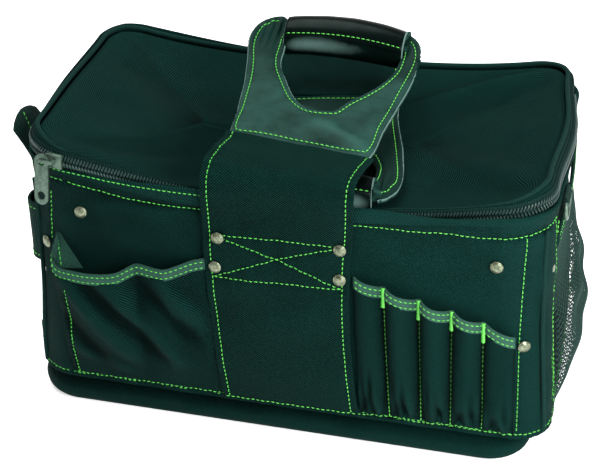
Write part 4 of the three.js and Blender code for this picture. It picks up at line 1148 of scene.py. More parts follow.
def run_of(ends, step):
    return np.arange(ends[0], ends[1] + step / 2, step)


def build_zip_strip(name, run, parts, lifts, cloth, node_name):
    low, up, out, _, width = zip_frame(run_of(run, TAPE_STEP))
    rows = [low + up * (part * width)[:, None] + out * lift for part, lift in zip(parts, lifts)]
    strip = Surface(np.stack(rows))
    piece = make_piece(name, sheet_shell(strip, TAPE_THICK), [cloth], [node_name])
    declare_sheet(strip)


def build_zip_chain():
    low, up, out, ahead, width = zip_frame(run_of(CHAIN_RUN, CHAIN_STEP))
    middle = low + up * (width * 0.5)[:, None]
    lengths = distances(middle)
    teeth = []
    for side in (-1, 1):
        first = CHAIN_END + (side > 0) * TOOTH_PITCH / 2
        places = np.arange(first, lengths[-1] - CHAIN_END, TOOTH_PITCH)
        u, o, a = (unit(picked(places, lengths, way)) for way in (up, out, ahead))
        centre = picked(places, lengths, middle) + u * (TOOTH_ROW * side) + o * TOOTH_LIFT
        half = np.full(len(places), TOOTH_LENGTH / 2)
        radius = np.full(len(places), TOOTH_RADIUS)
        teeth.append((centre, unit(u + a * TOOTH_SLANT * side), o, half, radius))
    make_piece("zip_coil", stitch_shell(teeth), [zip_nylon])


def build_zip():
    build_zip_strip("zip_tape_cloth", TAPE_RUN, TAPE_PARTS, TAPE_LIFTS, zip_cloth, "zip_tape")
    hinge_parts = np.linspace(0, 1, len(HINGE_LIFTS))
    build_zip_strip("hinge_strip", HINGE_RUN, hinge_parts, HINGE_LIFTS, dark_twill, "lid_hinge")
    build_zip_chain()


# Handles: middle lines from the wall up by place and roll in degrees, and the row where strap meets yoke
FRONT_SPINE = ((0, -127, 206, 0), (0.5, -128, 226, 0), (1.5, -122, 238, 1), (4, -103, 241, 3),
               (7, -78, 239, 4), (9, -30, 244.5, 3), (11, 20, 252, 3), (12, 66, 260.5, 3))
REAR_SPINE = ((-8, 124.5, 204, 0), (-8, 127, 218, 0), (-7.5, 119, 228, 0), (-6, 98, 226, 0),
              (0, 45, 219, 0), (7, -4, 215, 0), (14, -52, 215, 0), (18, -99, 218.6, 0))
SEAM_ROW, SPINE_FILL = 4, 100


class Spine:
    """A handle's middle line, with its sideways and outward directions."""

    def __init__(self, rows, across):
        rows = np.array(rows, float)
        fine = refined(rows, SPINE_FILL)
        self.points = fine[:, :3]
        roll = np.radians(np.interp(np.arange(len(fine)) / SPINE_FILL, np.arange(len(rows)), rows[:, 3]))
        self.places = distances(self.points)
        self.length = self.places[-1]
        self.seam = self.places[SEAM_ROW * SPINE_FILL]
        tangent = unit(np.gradient(self.points, axis=0))
        side = np.broadcast_to(np.array([across, 0.0, 0.0]), tangent.shape)
        side = unit(side - tangent * (side * tangent).sum(1, keepdims=True))
        turned = side * np.cos(roll)[:, None] + np.cross(tangent, side) * np.sin(roll)[:, None]
        self.tangent, self.side, self.normal = tangent, turned, np.cross(turned, tangent)

    def at(self, s, t, offset):
        """Points by distance across, distance along and offset, carried straight on past both ends."""
        s, t, offset = np.broadcast_arrays(np.asarray(s, float), t, offset)
        held = np.clip(t, 0, self.length)
        ways = (self.points, self.side, self.normal, self.tangent)
        point, side, normal, tangent = (picked(held, self.places, way) for way in ways)
        return point + side * s[..., None] + normal * offset[..., None] + tangent * (t - held)[..., None]


front_spine, rear_spine = Spine(FRONT_SPINE, 1), Spine(REAR_SPINE, -1)

# Straps: height, middle and half width on the wall, then shares of the way along the spine to the yoke
STRAP_ROWS = np.array([(28, 5, 53), (90, 0, 54), (160, -2, 56), (206, 0, 58)], float)
STRAP_LEVELS = (28, 60, 95, 130, 165, 192)
SPINE_PARTS = (0.12, 0.24, 0.33, 0.42, 0.5, 0.58, 0.68, 0.84, 1)
STRAP_WIDTH, STRAP_TOP_HALF, STRAP_COLUMNS, STRAP_FILL = 112.0, 58, 60, 9
STRAP_WAVES, STRAP_SEED, STRAP_FREE = ((60, 1, 0.7), (26, 1, 0.25)), 31, (0.05, 0.2)
EDGE_SEAM, STRAP_FOOT, FOOT_SEAM_END = 5.0, 31.0, 0.6
BOX_LOW, BOX_HIGH, BOX_INSET = 146.0, 182.5, 0.4
STRAP_EDGE_POINTS, STRAP_LINE_POINTS = 320, 160


def strap_row_of(z):
    return np.interp(z, STRAP_LEVELS, np.arange(len(STRAP_LEVELS)) * STRAP_FILL)


def strap_lines(last):
    """Rows and columns of a strap's stitches: two edges, the crossed box and the foot."""
    foot, low, high = strap_row_of(STRAP_FOOT), strap_row_of(BOX_LOW), strap_row_of(BOX_HIGH)
    edge = EDGE_SEAM / STRAP_WIDTH * STRAP_COLUMNS
    left, right = edge + BOX_INSET, STRAP_COLUMNS - edge - BOX_INSET
    box = (((low, left), (low, right)), ((high, left), (high, right)),
           ((low, left), (high, right)), ((low, right), (high, left)))
    edges = (edge, STRAP_COLUMNS - edge)
    lines = [straight((foot, column), (last, column), STRAP_EDGE_POINTS) for column in edges]
    lines += [straight(start, end, STRAP_LINE_POINTS) for start, end in box]
    foot_ends = (foot, FOOT_SEAM_END), (foot, STRAP_COLUMNS - FOOT_SEAM_END)
    lines.append(straight(*foot_ends, STRAP_LINE_POINTS))
    return lines


def build_strap(name, face, spine, seat, group):
    across = np.linspace(-1, 1, STRAP_COLUMNS + 1)
    rows = []
    for z in STRAP_LEVELS:
        middle = table_at(STRAP_ROWS[:, 0], STRAP_ROWS[:, 1], z) * (face == FRONT)
        half = table_at(STRAP_ROWS[:, 0], STRAP_ROWS[:, 2], z)
        rows.append(on_face(face, middle + across * half, float(z), seat + STRAP))
    for part in SPINE_PARTS:
        rows.append(spine.at(across * STRAP_TOP_HALF, part * (spine.seam - GAP), STRAP / 2))
    strap = Surface(refined(np.array(rows), STRAP_FILL))
    last = strap.points.shape[0] - 1
    up = np.arange(last + 1)[:, None] / last
    strap.push(swells(strap.points, STRAP_WAVES, STRAP_SEED + face) * smooth(up, *STRAP_FREE))
    sew_lines(group, strap, strap_lines(last), STRAP_SEAM, every=2)
    piece = make_piece(name + "_cloth", sheet_shell(strap, STRAP), [strap_twill], [name])
    flat = (STRAP_WIDTH * MM, run_length(strap.points[:, STRAP_COLUMNS // 2]))


# Yoke: spokes from the hand hole's edge to the outer edge, from the seam up, on each side
YOKE_RIGHT = ((0, 47.5, 0, 0.6), (8, 47.7, 28, 0.6), (14.5, 50, 52.5, 0.6), (22, 65, 55.5, 35),
              (32, 80.5, 59, 66), (41.5, 95.5, 62.5, 97), (46.5, 108, 64, 115), (48, 119, 63.8, 131),
              (48.4, 128, 61, 142), (48.3, 135, 56.5, 150), (47.6, 139, 50, 154.5), (46, 140, 46, 149),
              (30, 140, 30, 148), (0, 140, 0, 148))
YOKE_LEFT = ((-10, 50, -28, 0.6), (-21, 59, -54, 0.6), (-29, 71, -59, 35), (-36, 84, -64, 66),
             (-42.5, 97, -70, 97), (-45.5, 108, -74.5, 117), (-46.4, 119, -75.5, 131), (-47.4, 128, -73, 143),
             (-48, 135, -66, 152.5), (-47.6, 139, -55.5, 157), (-46, 140, -46, 149), (-30, 140, -30, 148))
YOKE_START, YOKE_FILL = 0.6, 9
YOKE_PARTS = np.concatenate([[0, 0.02], np.linspace(0.06, 0.94, 26), [0.98, 1]])[:, None]
YOKE_THICK, YOKE_FLAT, YOKE_AREA = 4.4, (0.140, 0.160), 0.0118

# The rear yoke's left side mirrors the right one, a little wider and longer at its outer edge
REAR_YOKE_LEFT = np.array(YOKE_RIGHT[1:-1]) * (-1, 1, -1.06, 1.03)

# The yoke's crown, the cups of its arms beside the grip, the pleats in its left arm, its fold and its hollow
YOKE_CROWN, YOKE_EDGE_DROP = 0.9, 0.3
CUP_UP, CUP_OUT, CUP_POWER = (85, 150), (30, 46), 1.5
PLEAT, PLEAT_UP, PLEAT_OUT, PLEAT_TURN, PLEAT_START = 0.9, (112, 136), (44, 50), 1.1, 1.0
YOKE_FOLD = ((2, 33), (56, 5), 6.5, 2.8)
HOLLOW, HOLLOW_ACROSS, HOLLOW_UP = 2.4, (24, 14), (12, 10)
YOKE_WAVES, YOKE_SEED = ((48, 1, 0.6),), 51

# The yoke's seams: distances from the hole and from the outer edge, and where they stop
HOLE_SEAM, OUTER_SEAM = 4.2, 4.8
YOKE_SEAM_NARROWEST, YOKE_SEAM_TOP, SHORTEST_RUN, SEAM_FILL = 11, 138, 6, 4

# Shade of the yoke all over and up its arms, less on the right one
YOKE_SHADE, ARM_SHADE, ARM_UP, ARM_LEFT, RIGHT_ARM_SHARE = 0.25, 1.6, (78, 132), (0, 40), 0.6


def yoke_surface(spine, s, t, cup_rise):
    parts = YOKE_PARTS
    crown = YOKE_CROWN * np.sin(np.pi * parts) ** 0.5 - YOKE_EDGE_DROP
    cup = cup_rise * (smooth(t, *CUP_UP) * smooth(np.abs(s), *CUP_OUT)) * parts ** CUP_POWER
    pleated = 4 * parts * (1 - parts) * smooth(t, *PLEAT_UP) * smooth(-s, *PLEAT_OUT)
    pleats = PLEAT * pleated * np.sin(s * PLEAT_TURN + PLEAT_START)
    fold = ridge(s, t, *YOKE_FOLD) - HOLLOW * bell(s, *HOLLOW_ACROSS) * bell(t, *HOLLOW_UP)
    yoke = Surface(spine.at(s, spine.seam + t, LEATHERETTE / 2 + crown + cup + pleats + fold), wrap=True)
    yoke.push(swells(yoke.points, YOKE_WAVES, YOKE_SEED))
    return yoke


def yoke_seam(yoke, row, keep):
    """Runs of points and normals round a yoke at one row for each column, where it is to be sewn."""
    rows, columns = yoke.points.shape[:2]
    index = np.arange(columns)
    r = row.astype(int).clip(0, rows - 2)
    path = lerp(yoke.points[r, index], yoke.points[r + 1, index], (row - r)[:, None])
    normal = yoke.normals[r, index]
    runs = [run[keep[run]] for run in np.split(index, np.where(~keep)[0])]
    runs = [run for run in runs if len(run) > SHORTEST_RUN]
    if len(runs) > 1 and keep[0] and keep[-1]:
        runs[0] = np.concatenate([runs.pop(), runs[0]])
    for run in runs:
        steps = np.arange(len(run))
        dense = np.linspace(0, len(run) - 1, len(run) * SEAM_FILL)
        yield picked(dense, steps, path[run]), picked(dense, steps, normal[run])


def build_yoke(name, spine, group, left_side, shade, cup_rise):
    right, left = np.array(YOKE_RIGHT, float), np.array(left_side, float)[::-1]
    spokes = refined(np.concatenate([right, left]), YOKE_FILL, closed=True)
    spokes[:, 3] = np.maximum(spokes[:, 3], YOKE_START)
    s = lerp(spokes[:, 0], spokes[:, 2], YOKE_PARTS)[:, ::-1]
    t = lerp(spokes[:, 1], spokes[:, 3], YOKE_PARTS)[:, ::-1]
    yoke = yoke_surface(spine, s, t, cup_rise)
    width = np.linalg.norm(yoke.points[-1] - yoke.points[0], axis=1)
    keep = (width > YOKE_SEAM_NARROWEST) & (t[0] < YOKE_SEAM_TOP)
    for inset, from_hole in ((HOLE_SEAM, True), (OUTER_SEAM, False)):
        share = np.clip(inset / np.maximum(width, 1), 0, 0.5)
        row = np.interp(share if from_hole else 1 - share, YOKE_PARTS[:, 0], np.arange(len(YOKE_PARTS)))
        for path, normal in yoke_seam(yoke, row, keep):
            yoke.sink(path, **YOKE_SEAM)
            sew(group, path, normal)
    # Painted shade over the yoke, deeper up its arms
    arms = smooth(t, *ARM_UP) * lerp(RIGHT_ARM_SHARE, 1.0, smooth(-s, *ARM_LEFT))
    shell = sheet_shell(yoke, YOKE_THICK, RAW_EDGE, shade - YOKE_SHADE - ARM_SHADE * arms)
    piece = make_piece(name + "_leatherette", shell, [leatherette, raw_edge], [name])


# Grip rolls: half length, half sizes along the spine and out of it, place, arch and fill
GRIP_HALF, GRIP_ALONG, GRIP_NORMAL, GRIP_MIDDLE, GRIP_ARCH, GRIP_FILL = 48.5, 17.0, 16.5, 144.0, 3.6, 0.9
GRIP_AROUND, GRIP_STEPS = 64, 72
GRIP_END, GRIP_SWELL, GRIP_SWELL_POWER, ARCH_LEAN = 0.93, 0.07, 0.6, 0.5

# The roll's seam by its turn, its lap, where its stitches lie and end, and lumps by height, turns and start
GRIP_SEAM = np.pi / 2 + 0.96
LAP_RISES, LAP_FALLS = (GRIP_SEAM - 1.5, GRIP_SEAM - 0.9), (GRIP_SEAM + 0.05, GRIP_SEAM + 0.16)
LAP_THICK = 1.1
STITCH_TURN, STITCH_LIFT, STITCH_END = GRIP_SEAM - 0.13, 1.15, 0.97
GRIP_LUMPS = ((0.25, 3.1, 0.6), (0.05, 13, 0))

# Rings of a roll's ends by share of its girth and distance out, with small gathers
CAP_RINGS = ((0.985, 0.5), (0.9, 0.7), (0.86, -0.6), (0.7, -4.0), (0.45, -9.0))
CAP_GATHER, CAP_GATHERS = 0.08, 5

# Painted highlights along a roll, pale streaks of glare: height, turn and width, and how they fade from left
# to right
LOW_HIGHLIGHT, LOW_HIGHLIGHT_FADE, LOW_HIGHLIGHT_START = (1.0, GRIP_SEAM + 0.5, 0.42), (0.2, -0.5, 0.6), (-1.1, -0.75)
TOP_HIGHLIGHT, TOP_HIGHLIGHT_FADE, GRIP_SHADE = (0.35, GRIP_SEAM - 1.25, 0.3), (0.5, -0.2, 0.7), 0.15


def highlight_streak(turn, part, place, fade):
    height, centre, width = place
    end_share, start, end = fade
    return height * bell(turn, centre, width) * lerp(1.0, end_share, smooth(part, start, end))


def grip_cap(spine, turn, sign, facing, drop):
    """Rings of one end of a roll, from the outside in."""
    rings = []
    for share, depth in CAP_RINGS:
        gather = 1 + CAP_GATHER * np.sin(turn * CAP_GATHERS + sign) * (1 - share)
        place = spine.seam + GRIP_MIDDLE + facing * GRIP_ALONG * GRIP_END * share * np.cos(turn)
        rise = GRIP_NORMAL * GRIP_END * share * gather * np.sin(turn) - drop
        rings.append(spine.at(sign * (GRIP_HALF + depth), place, rise))
    return rings


def build_grip(name, spine, group, drop, facing):
    turn = 2 * np.pi * np.arange(GRIP_AROUND) / GRIP_AROUND
    part = np.linspace(-1, 1, GRIP_STEPS)[:, None]

    def skin(part, turn, lift):
        swell = GRIP_END + GRIP_SWELL * np.cos(part * np.pi / 2) ** GRIP_SWELL_POWER
        lumps = sum(high * np.sin(part * turns + start) for high, turns, start in GRIP_LUMPS) + lift
        arch = GRIP_ARCH * (1 - part ** 2)
        middle = spine.seam + GRIP_MIDDLE + arch * ARCH_LEAN
        place = middle + facing * (GRIP_ALONG * swell + lumps) * np.cos(turn)
        return spine.at(part * GRIP_HALF, place, (GRIP_NORMAL * swell + lumps) * np.sin(turn) + arch - drop)
    body = skin(part, turn, LAP_THICK * window(turn, LAP_RISES, LAP_FALLS))
    # Painted highlight on the lower half and along the top, and painted shade elsewhere on the roll
    shine = highlight_streak(turn, part, LOW_HIGHLIGHT, LOW_HIGHLIGHT_FADE) * smooth(part, *LOW_HIGHLIGHT_START)
    shine = shine + highlight_streak(turn, part, TOP_HIGHLIGHT, TOP_HIGHLIGHT_FADE) - GRIP_SHADE
    left, right = (grip_cap(spine, turn, sign, facing, drop) for sign in (-1, 1))
    shell = Shell()
    caps = len(CAP_RINGS)
    plain = np.zeros((caps, GRIP_AROUND))
    index = shell.add(np.array(left[::-1] + list(body) + right), np.concatenate([plain, shine, plain]))
    body_end = caps + GRIP_STEPS
    strips = ((0, caps - 1, 0), (caps - 2, caps + 1, 1), (caps, body_end, 0),
              (body_end - 1, body_end + 2, 1), (body_end + 1, len(index), 0))
    for start, end, mark in strips:
        shell.join(index[start:end], wrap_columns=True, flip=facing > 0, mark=mark)
    shell.fan(index[0], flip=facing > 0)
    shell.fan(index[-1], flip=facing < 0)
    materials = [grip_leatherette, raw_edge]
    piece = make_piece(name + "_roll", shell, materials, [name], sharp=ROLL_SHARP)

    def seam(part, lift):
        return skin(part, STITCH_TURN, STITCH_LIFT + lift)
    sew(group, *line_on(seam, -STITCH_END, STITCH_END))


# Binding tapes of the front pockets: height, thickness, roll, rows, and the rows their two seams lie on
BINDING_HEIGHT, BINDING_THICK, BINDING_ROLL, BINDING_ROWS = 9.0, 2.4, 0.5, 11
BINDING_SEAMS, BINDING_POINTS, BINDING_OVERLAP = (2.2, 7.8), 300, 1.0


def build_binding(group, places, top, out, thick, draw):
    """The tape over a pocket's mouth."""
    part = np.linspace(0, 1, BINDING_ROWS)[:, None]
    height = top - BINDING_HEIGHT * (1 - part)
    tape = Surface(on_face(FRONT, places + 0 * part, height, out + BINDING_ROLL * np.sin(np.pi * part)))
    last = tape.points.shape[1] - 2
    for share in BINDING_SEAMS:
        row, column = straight((share, 1), (share, last), BINDING_POINTS)
        tape.sink(tape.at(row, column)[0], **draw)
        sew(group, *tape.at(row, column), radius=TAPE_THREAD)
    shell = sheet_shell(tape, thick)
    piece = make_piece(group + "_tape", shell, [grey_tape], [group + "_binding"])
    declare_sheet(tape)


# Left pocket: place of its mouth, place of its foot, height and stand of its mouth
LEFT_POCKET = np.array([
    (-178, -172, 168, 1.4), (-181, -171.5, 157, 7), (-181.5, -170.5, 149, 10), (-177, -168, 144, 12),
    (-163, -158, 143.5, 15), (-147, -142, 144, 17), (-129, -126, 145.5, 15), (-117, -114, 151, 11),
    (-110.5, -107, 152.5, 8), (-95.5, -92, 151, 9.5), (-86, -82, 152.5, 10), (-68.5, -64, 158.5, 4),
    (-58, -54, 160.5, 1), (-52, -46, 161, 0)], float)
POCKET_FOOT, POCKET_FILL, POCKET_ROWS = 29.0, 9, 64
POCKET_FREE, POCKET_STRAP_END = (0.03, 0.2), (-64, -54)
POCKET_FOLDS = (
    ((-176, 138), (-112, 50), 7, 5.0),
    ((-158, 138), (-92, 56), 7, -4.6),
    ((-138, 136), (-74, 52), 8, 5.2),
    ((-116, 140), (-60, 74), 6, -4.0),
    ((-98, 144), (-56, 92), 6, 3.6),
    ((-178, 104), (-134, 40), 7, -3.8),
    ((-168, 66), (-110, 34), 6, 2.6),
)
FLAT_FOLD_SHARE, FULL_FOLD_STAND = 0.3, 8
FOOT_SEAM_ROW, POCKET_SEAM_COLUMNS, POCKET_SEAM_STOP, POCKET_POINTS = 1.2, (28, 31), 6, 200
# Painted shade over the whole pocket, and its flat height in metres
POCKET_SHADE, POCKET_FLAT_HEIGHT = -0.25, 0.125

# The triangle of tape in the pocket's corner: place, height and stand of its three points
POCKET_CORNER = ((-178.5, 168.5, 3.5), (-182.0, 142.0, 11.5), (-157.0, 143.0, 9.0))
# The corner tape's thickness, tip, rows and columns, and its painted shadow
CORNER_THICK, CORNER_TIP, CORNER_ROWS, CORNER_COLUMNS, CORNER_SHADE = 1.2, 0.12, 24, 16, -0.7
CORNER_SEAMS, CORNER_SEAM_END, CORNER_POINTS = (1.4, 5.0), 21, 60


def build_left_pocket():
    x, foot, top, out = refined(LEFT_POCKET, POCKET_FILL).T
    rise = np.linspace(0, 1, POCKET_ROWS)[:, None]
    z = lerp(POCKET_FOOT, top - BINDING_HEIGHT + BINDING_OVERLAP, rise)
    along = lerp(foot, x, rise)
    stand = np.maximum(out, 0) * rise * (2 - rise)
    free = smooth(rise, *POCKET_FREE) * (1 - smooth(along, *POCKET_STRAP_END))
    folds = sum(ridge(along, z, *fold) for fold in POCKET_FOLDS)
    folds = folds * free * lerp(FLAT_FOLD_SHARE, 1.0, smooth(stand, 0, FULL_FOLD_STAND))
    pocket = Surface(on_face(FRONT, along, z, np.maximum(GAP + stand + CLOTH + folds, CLOTH + GAP)))
    rows, columns = pocket.points.shape[:2]
    low, high = POCKET_SEAM_COLUMNS
    left_line = straight((1, low), (rows - POCKET_SEAM_STOP, high), POCKET_POINTS)
    foot_line = straight((FOOT_SEAM_ROW, 1), (FOOT_SEAM_ROW, columns - 2), POCKET_POINTS)
    sew_lines("left_pocket", pocket, (left_line, foot_line), POCKET_SEAM)
    shell = sheet_shell(pocket, CLOTH, shade=POCKET_SHADE)
    piece = make_piece("left_pocket_cloth", shell, [dark_twill], ["left_pocket"])
    flat = (run_length(pocket.points[-1]), POCKET_FLAT_HEIGHT)
    x, _, top, out = refined(LEFT_POCKET[:-1], POCKET_FILL).T
    stand = GAP + np.maximum(out, 0) + BINDING_THICK
    build_binding("left_pocket", x, top, stand, BINDING_THICK, POCKET_TAPE_SEAM)


def build_pocket_corner():
    down, along = np.linspace(0, 1, CORNER_ROWS)[:, None], np.linspace(0, 1, CORNER_COLUMNS)
    spread = along * lerp(CORNER_TIP, 1.0, down)
    tip, outer, inner = POCKET_CORNER
    x, z, out = (lerp(a, b, down) + (c - b) * spread for a, b, c in zip(tip, outer, inner))
    corner = Surface(on_face(FRONT, x, z, out)[::-1])
    for column in CORNER_SEAMS:
        row, column = straight((1, column), (CORNER_SEAM_END, column), CORNER_POINTS)
        sew("left_pocket", *corner.at(row, column), radius=HEM_THREAD)
    shell = sheet_shell(corner, CORNER_THICK, shade=CORNER_SHADE)
    make_piece("left_pocket_corner_tape", shell, [grey_tape], ["left_pocket_binding"])


# Tool slots: place at the mouth, place at the foot and height of each tack, and how far each mouth bulges
SLOT_TACKS = np.array([(57, 60, 158), (80, 83, 151), (107, 107.5, 143), (132, 130, 136), (156, 154, 128.5),
                       (180, 178, 117)], float)
SLOT_BULGES, SLOT_BELLY, SLOT_STEPS, SLOT_ROWS = (5.0, 7.5, 8.5, 7.5, 4.5), 5.5, 26, 56
SLOT_LEAN, SLOT_ROUND, SLOT_FOOT_RUN = 0.85, 0.75, (0.0, 0.28)
SLOT_WAVES, SLOT_SEED, SLOT_FREE = ((40, 0.35, 0.9),), 61, (0.06, 0.3)
SLOT_PLEATS, SLOT_PLEAT_SEED, SLOT_PLEAT_PLACE = ((9, 0.12, 2.2),), 62, (0.16, 0.2)
SLOT_FLAT_HEIGHT, SLOT_THREAD_LIFT, SLOT_TAPE = 0.105, 0.2, 0.4
SLOT_POINTS, SLOT_FOOT_POINTS = 150, 260

# Shade of the slots' left flanks and of the rest, by the way across each slot
SLOT_SHADE, SLOT_FLANK_SHADE, SLOT_LIT = -0.6, -1.7, ((0.05, 0.6), (0.9, 1.0))

# Bar tacks at the slots' mouths: reach down and up, step and lift
TACK_DOWN, TACK_UP, TACK_STEP, TACK_LIFT = 16, 0.8, 0.9, 2.2


def over_slots(values, sizes=(1,) * len(SLOT_BULGES)):
    """One slot's values times each slot's size, across all the slots, with 0 on the last tack."""
    return np.concatenate([values * size for size in sizes] + [[0]])


def build_tool_slots():
    part = np.arange(SLOT_STEPS) / SLOT_STEPS
    rows = [lerp(a, b, part[:, None]) for a, b in zip(SLOT_TACKS[:-1], SLOT_TACKS[1:])]
    mouth, foot, top = np.concatenate(rows + [SLOT_TACKS[-1:]]).T
    arch = np.sin(np.pi * part ** SLOT_LEAN) ** SLOT_ROUND
    mouth_out = over_slots(arch, SLOT_BULGES)
    bulge = over_slots(arch)
    rise = np.linspace(0, 1, SLOT_ROWS)[:, None]
    z = lerp(POCKET_FOOT, top - BINDING_HEIGHT + BINDING_OVERLAP, rise)
    out = lerp(bulge * SLOT_BELLY, mouth_out, rise) * smooth(rise, *SLOT_FOOT_RUN)
    slots = Surface(on_face(FRONT, lerp(foot, mouth, rise), z, GAP + CLOTH + out))
    waved = swells(slots.points, SLOT_WAVES, SLOT_SEED) * smooth(rise, *SLOT_FREE)
    pleats = swells(slots.points, SLOT_PLEATS, SLOT_PLEAT_SEED) * bell(rise, *SLOT_PLEAT_PLACE)
    slots.push((waved + pleats) * bulge)
    count, columns = slots.points.shape[:2]
    tacks = SLOT_STEPS * np.arange(1, len(SLOT_TACKS) - 1)
    lines = [straight((1, column), (count - 1, column), SLOT_POINTS) for column in tacks]
    lines.append(straight((FOOT_SEAM_ROW, 1), (FOOT_SEAM_ROW, columns - 2), SLOT_FOOT_POINTS))
    sew_lines("tool_slots", slots, lines, SLOT_SEAM, lift=SLOT_THREAD_LIFT)
    # Painted shade, deepest on each slot's left flank
    shade = lerp(SLOT_FLANK_SHADE, SLOT_SHADE, over_slots(window(part, *SLOT_LIT)))
    shell = sheet_shell(slots, CLOTH, shade=shade)
    piece = make_piece("tool_slots_cloth", shell, [dark_twill], ["tool_slots"])
    flat = (run_length(slots.points[count // 2]), SLOT_FLAT_HEIGHT)
    stand = GAP + mouth_out + CLOTH + SLOT_TAPE
    build_binding("tool_slots", mouth, top, stand, CLOTH + SLOT_TAPE, SLOT_TAPE_SEAM)


def build_bar_tacks():
    lift = GAP + CLOTH + TACK_LIFT
    for x, _, height in SLOT_TACKS[1:-1]:
        levels = np.arange(height - TACK_DOWN, height + TACK_UP, TACK_STEP)
        base = on_face(FRONT, x, levels, lift)
        above = on_face(FRONT, x, levels, lift + 1)
        beside = on_face(FRONT, x + 1, levels, lift)
        bar_tack("tool_slots", base, unit(above - base), unit(beside - base))


# Net pocket: its ends along the side, its heights, its bulges and its strands
NET_FRONT, NET_BACK, NET_FOOT, NET_TOP, NET_HEM = -86.0, 92.0, 40.0, 188.0, 10.0
NET_BULGE, NET_MOUTH, NET_LUMP, NET_DRAWN = 22.0, 2.0, 3.5, (0.5, 0.97)
NET_ARCH_POWER, NET_BELLY_LEAN, NET_BELLY_POWER, NET_BACK_LOSS = 0.6, 0.65, 0.7, 0.5
NET_LUMPS_UP, NET_LUMPS_LEAN, NET_LUMPS_ALONG = 17, 5, 13
NET_SPACING, NET_STEP, NET_THREAD, NET_SQUASH = 3.5 * 1.414, 2.4, 0.55, 0.7
NET_LIFT, NET_CROSSING, NET_WAVE, STRAND_SIDES, STRAND_GUIDE = 0.8, 0.3, 0.25, 4, (1, 0, 0.2)
HEM_COLUMNS, HEM_ROWS, HEM_GATHER, HEM_GATHERS, HEM_ROLL, HEM_SEAMS = 90, 9, 0.7, 22, 0.5, (1.6, 6.4)
HEM_POINTS = 240
NET_SEAM_INSET, NET_SEAM_LIFT, NET_FOOT_INSET, NET_FOOT_LIFT, NET_SEAM_TOP = 1.5, 1.4, 1.0, 1.6, 200


def net_out(part, rise):
    """How far the net stands out, by the shares of the way back and up."""
    part, rise = np.clip(part, 0, 1), np.clip(rise, 0, 1)
    arch = np.sin(np.pi * part) ** NET_ARCH_POWER
    belly = np.sin(np.pi * rise ** NET_BELLY_LEAN) ** NET_BELLY_POWER * (1 - NET_BACK_LOSS * part)
    lumps = np.sin(rise * NET_LUMPS_UP + part * NET_LUMPS_LEAN) * np.sin(part * NET_LUMPS_ALONG + 1)
    full = belly * NET_BULGE + lumps * np.sin(np.pi * rise) * NET_LUMP
    return arch * lerp(full, NET_MOUTH, smooth(rise, *NET_DRAWN))


def on_net(part, rise, lift):
    z = lerp(NET_FOOT, NET_TOP - NET_HEM, rise)
    return on_face(RIGHT, lerp(NET_FRONT, NET_BACK, part), z, GAP + net_out(part, rise) + lift)


def build_net():
    width, height = NET_BACK - NET_FRONT, NET_TOP - NET_HEM - NET_FOOT
    shell = Shell()
    for lean in (1, -1):
        for start in np.arange(-height, width, NET_SPACING):
            t = np.arange(0, height + NET_STEP, NET_STEP)
            a = start + t if lean > 0 else start + height - t
            keep = (a >= 0) & (a <= width) & (t <= height)
            if keep.sum() < 3:
                continue
            wave = NET_WAVE * np.sin(t[keep] * 2 * np.pi / NET_SPACING * 2)
            path = on_net(a[keep] / width, t[keep] / height, NET_LIFT + NET_CROSSING * lean + wave)
            tube_shell(path, NET_THREAD, STRAND_SIDES, guide=STRAND_GUIDE, squash=NET_SQUASH, shell=shell)
    make_piece("net_strands", shell, [net_thread], ["mesh_pocket"])


def build_net_hem():
    part = np.linspace(0, 1, HEM_COLUMNS)
    rise = np.linspace(0, 1, HEM_ROWS)[:, None]
    z = lerp(NET_TOP - NET_HEM, NET_TOP, rise)
    gathers = HEM_GATHER * np.sin(part * 2 * np.pi * HEM_GATHERS) * np.sin(np.pi * rise)
    out = GAP + net_out(part, 1.0) + BINDING_THICK + HEM_ROLL * np.sin(np.pi * rise) + gathers
    hem = Surface(on_face(RIGHT, lerp(NET_FRONT, NET_BACK, part) + 0 * rise, z, out))
    for share in HEM_SEAMS:
        row, column = straight((share, 1), (share, HEM_COLUMNS - 2), HEM_POINTS)
        sew("net", *hem.at(row, column), radius=HEM_THREAD)
    shell = sheet_shell(hem, BINDING_THICK)
    piece = make_piece("net_hem_cloth", shell, [piping_cloth], ["mesh_hem"])
    declare_sheet(hem)


def sew_net():
    """Stitches up the net's two ends and along its foot."""
    for along, top in ((NET_FRONT + NET_SEAM_INSET, NET_SEAM_TOP), (NET_BACK - NET_SEAM_INSET, NET_TOP)):
        def upright(t, lift, along=along):
            return on_face(RIGHT, along, t, NET_SEAM_LIFT + lift)
        sew("net", *line_on(upright, NET_FOOT, top))

    def foot(t, lift):
        return on_face(RIGHT, t, NET_FOOT + NET_FOOT_INSET, NET_FOOT_LIFT + lift)
    sew("net", *line_on(foot, NET_FRONT, NET_BACK))


# Rivets: a dome by radius and height, and places on the straps and on the walls
RIVET_PROFILE = ((1.0, 0.0), (1.04, 0.12), (1.02, 0.34), (0.95, 0.5), (0.86, 0.56), (0.78, 0.72),
                 (0.62, 0.92), (0.42, 1.04), (0.2, 1.1))
RIVET_RADIUS, RIVET_HEIGHT, RIVET_SIDES = 4.9, 2.2, 28
STRAP_RIVETS, STRAP_RIVET_LIFT = ((-47, 181), (-50, 155.5), (47.5, 181), (47, 155.5)), 0.1
WALL_RIVETS = (("rivet_upper_left", FRONT, -157, 188), ("rivet_pocket_corner", FRONT, -190, 154),
               ("rivet_upper_right", FRONT, 164, 177), ("rivet_slot_end", FRONT, 186, 108),
               ("rivet_side", RIGHT, -95, 164))


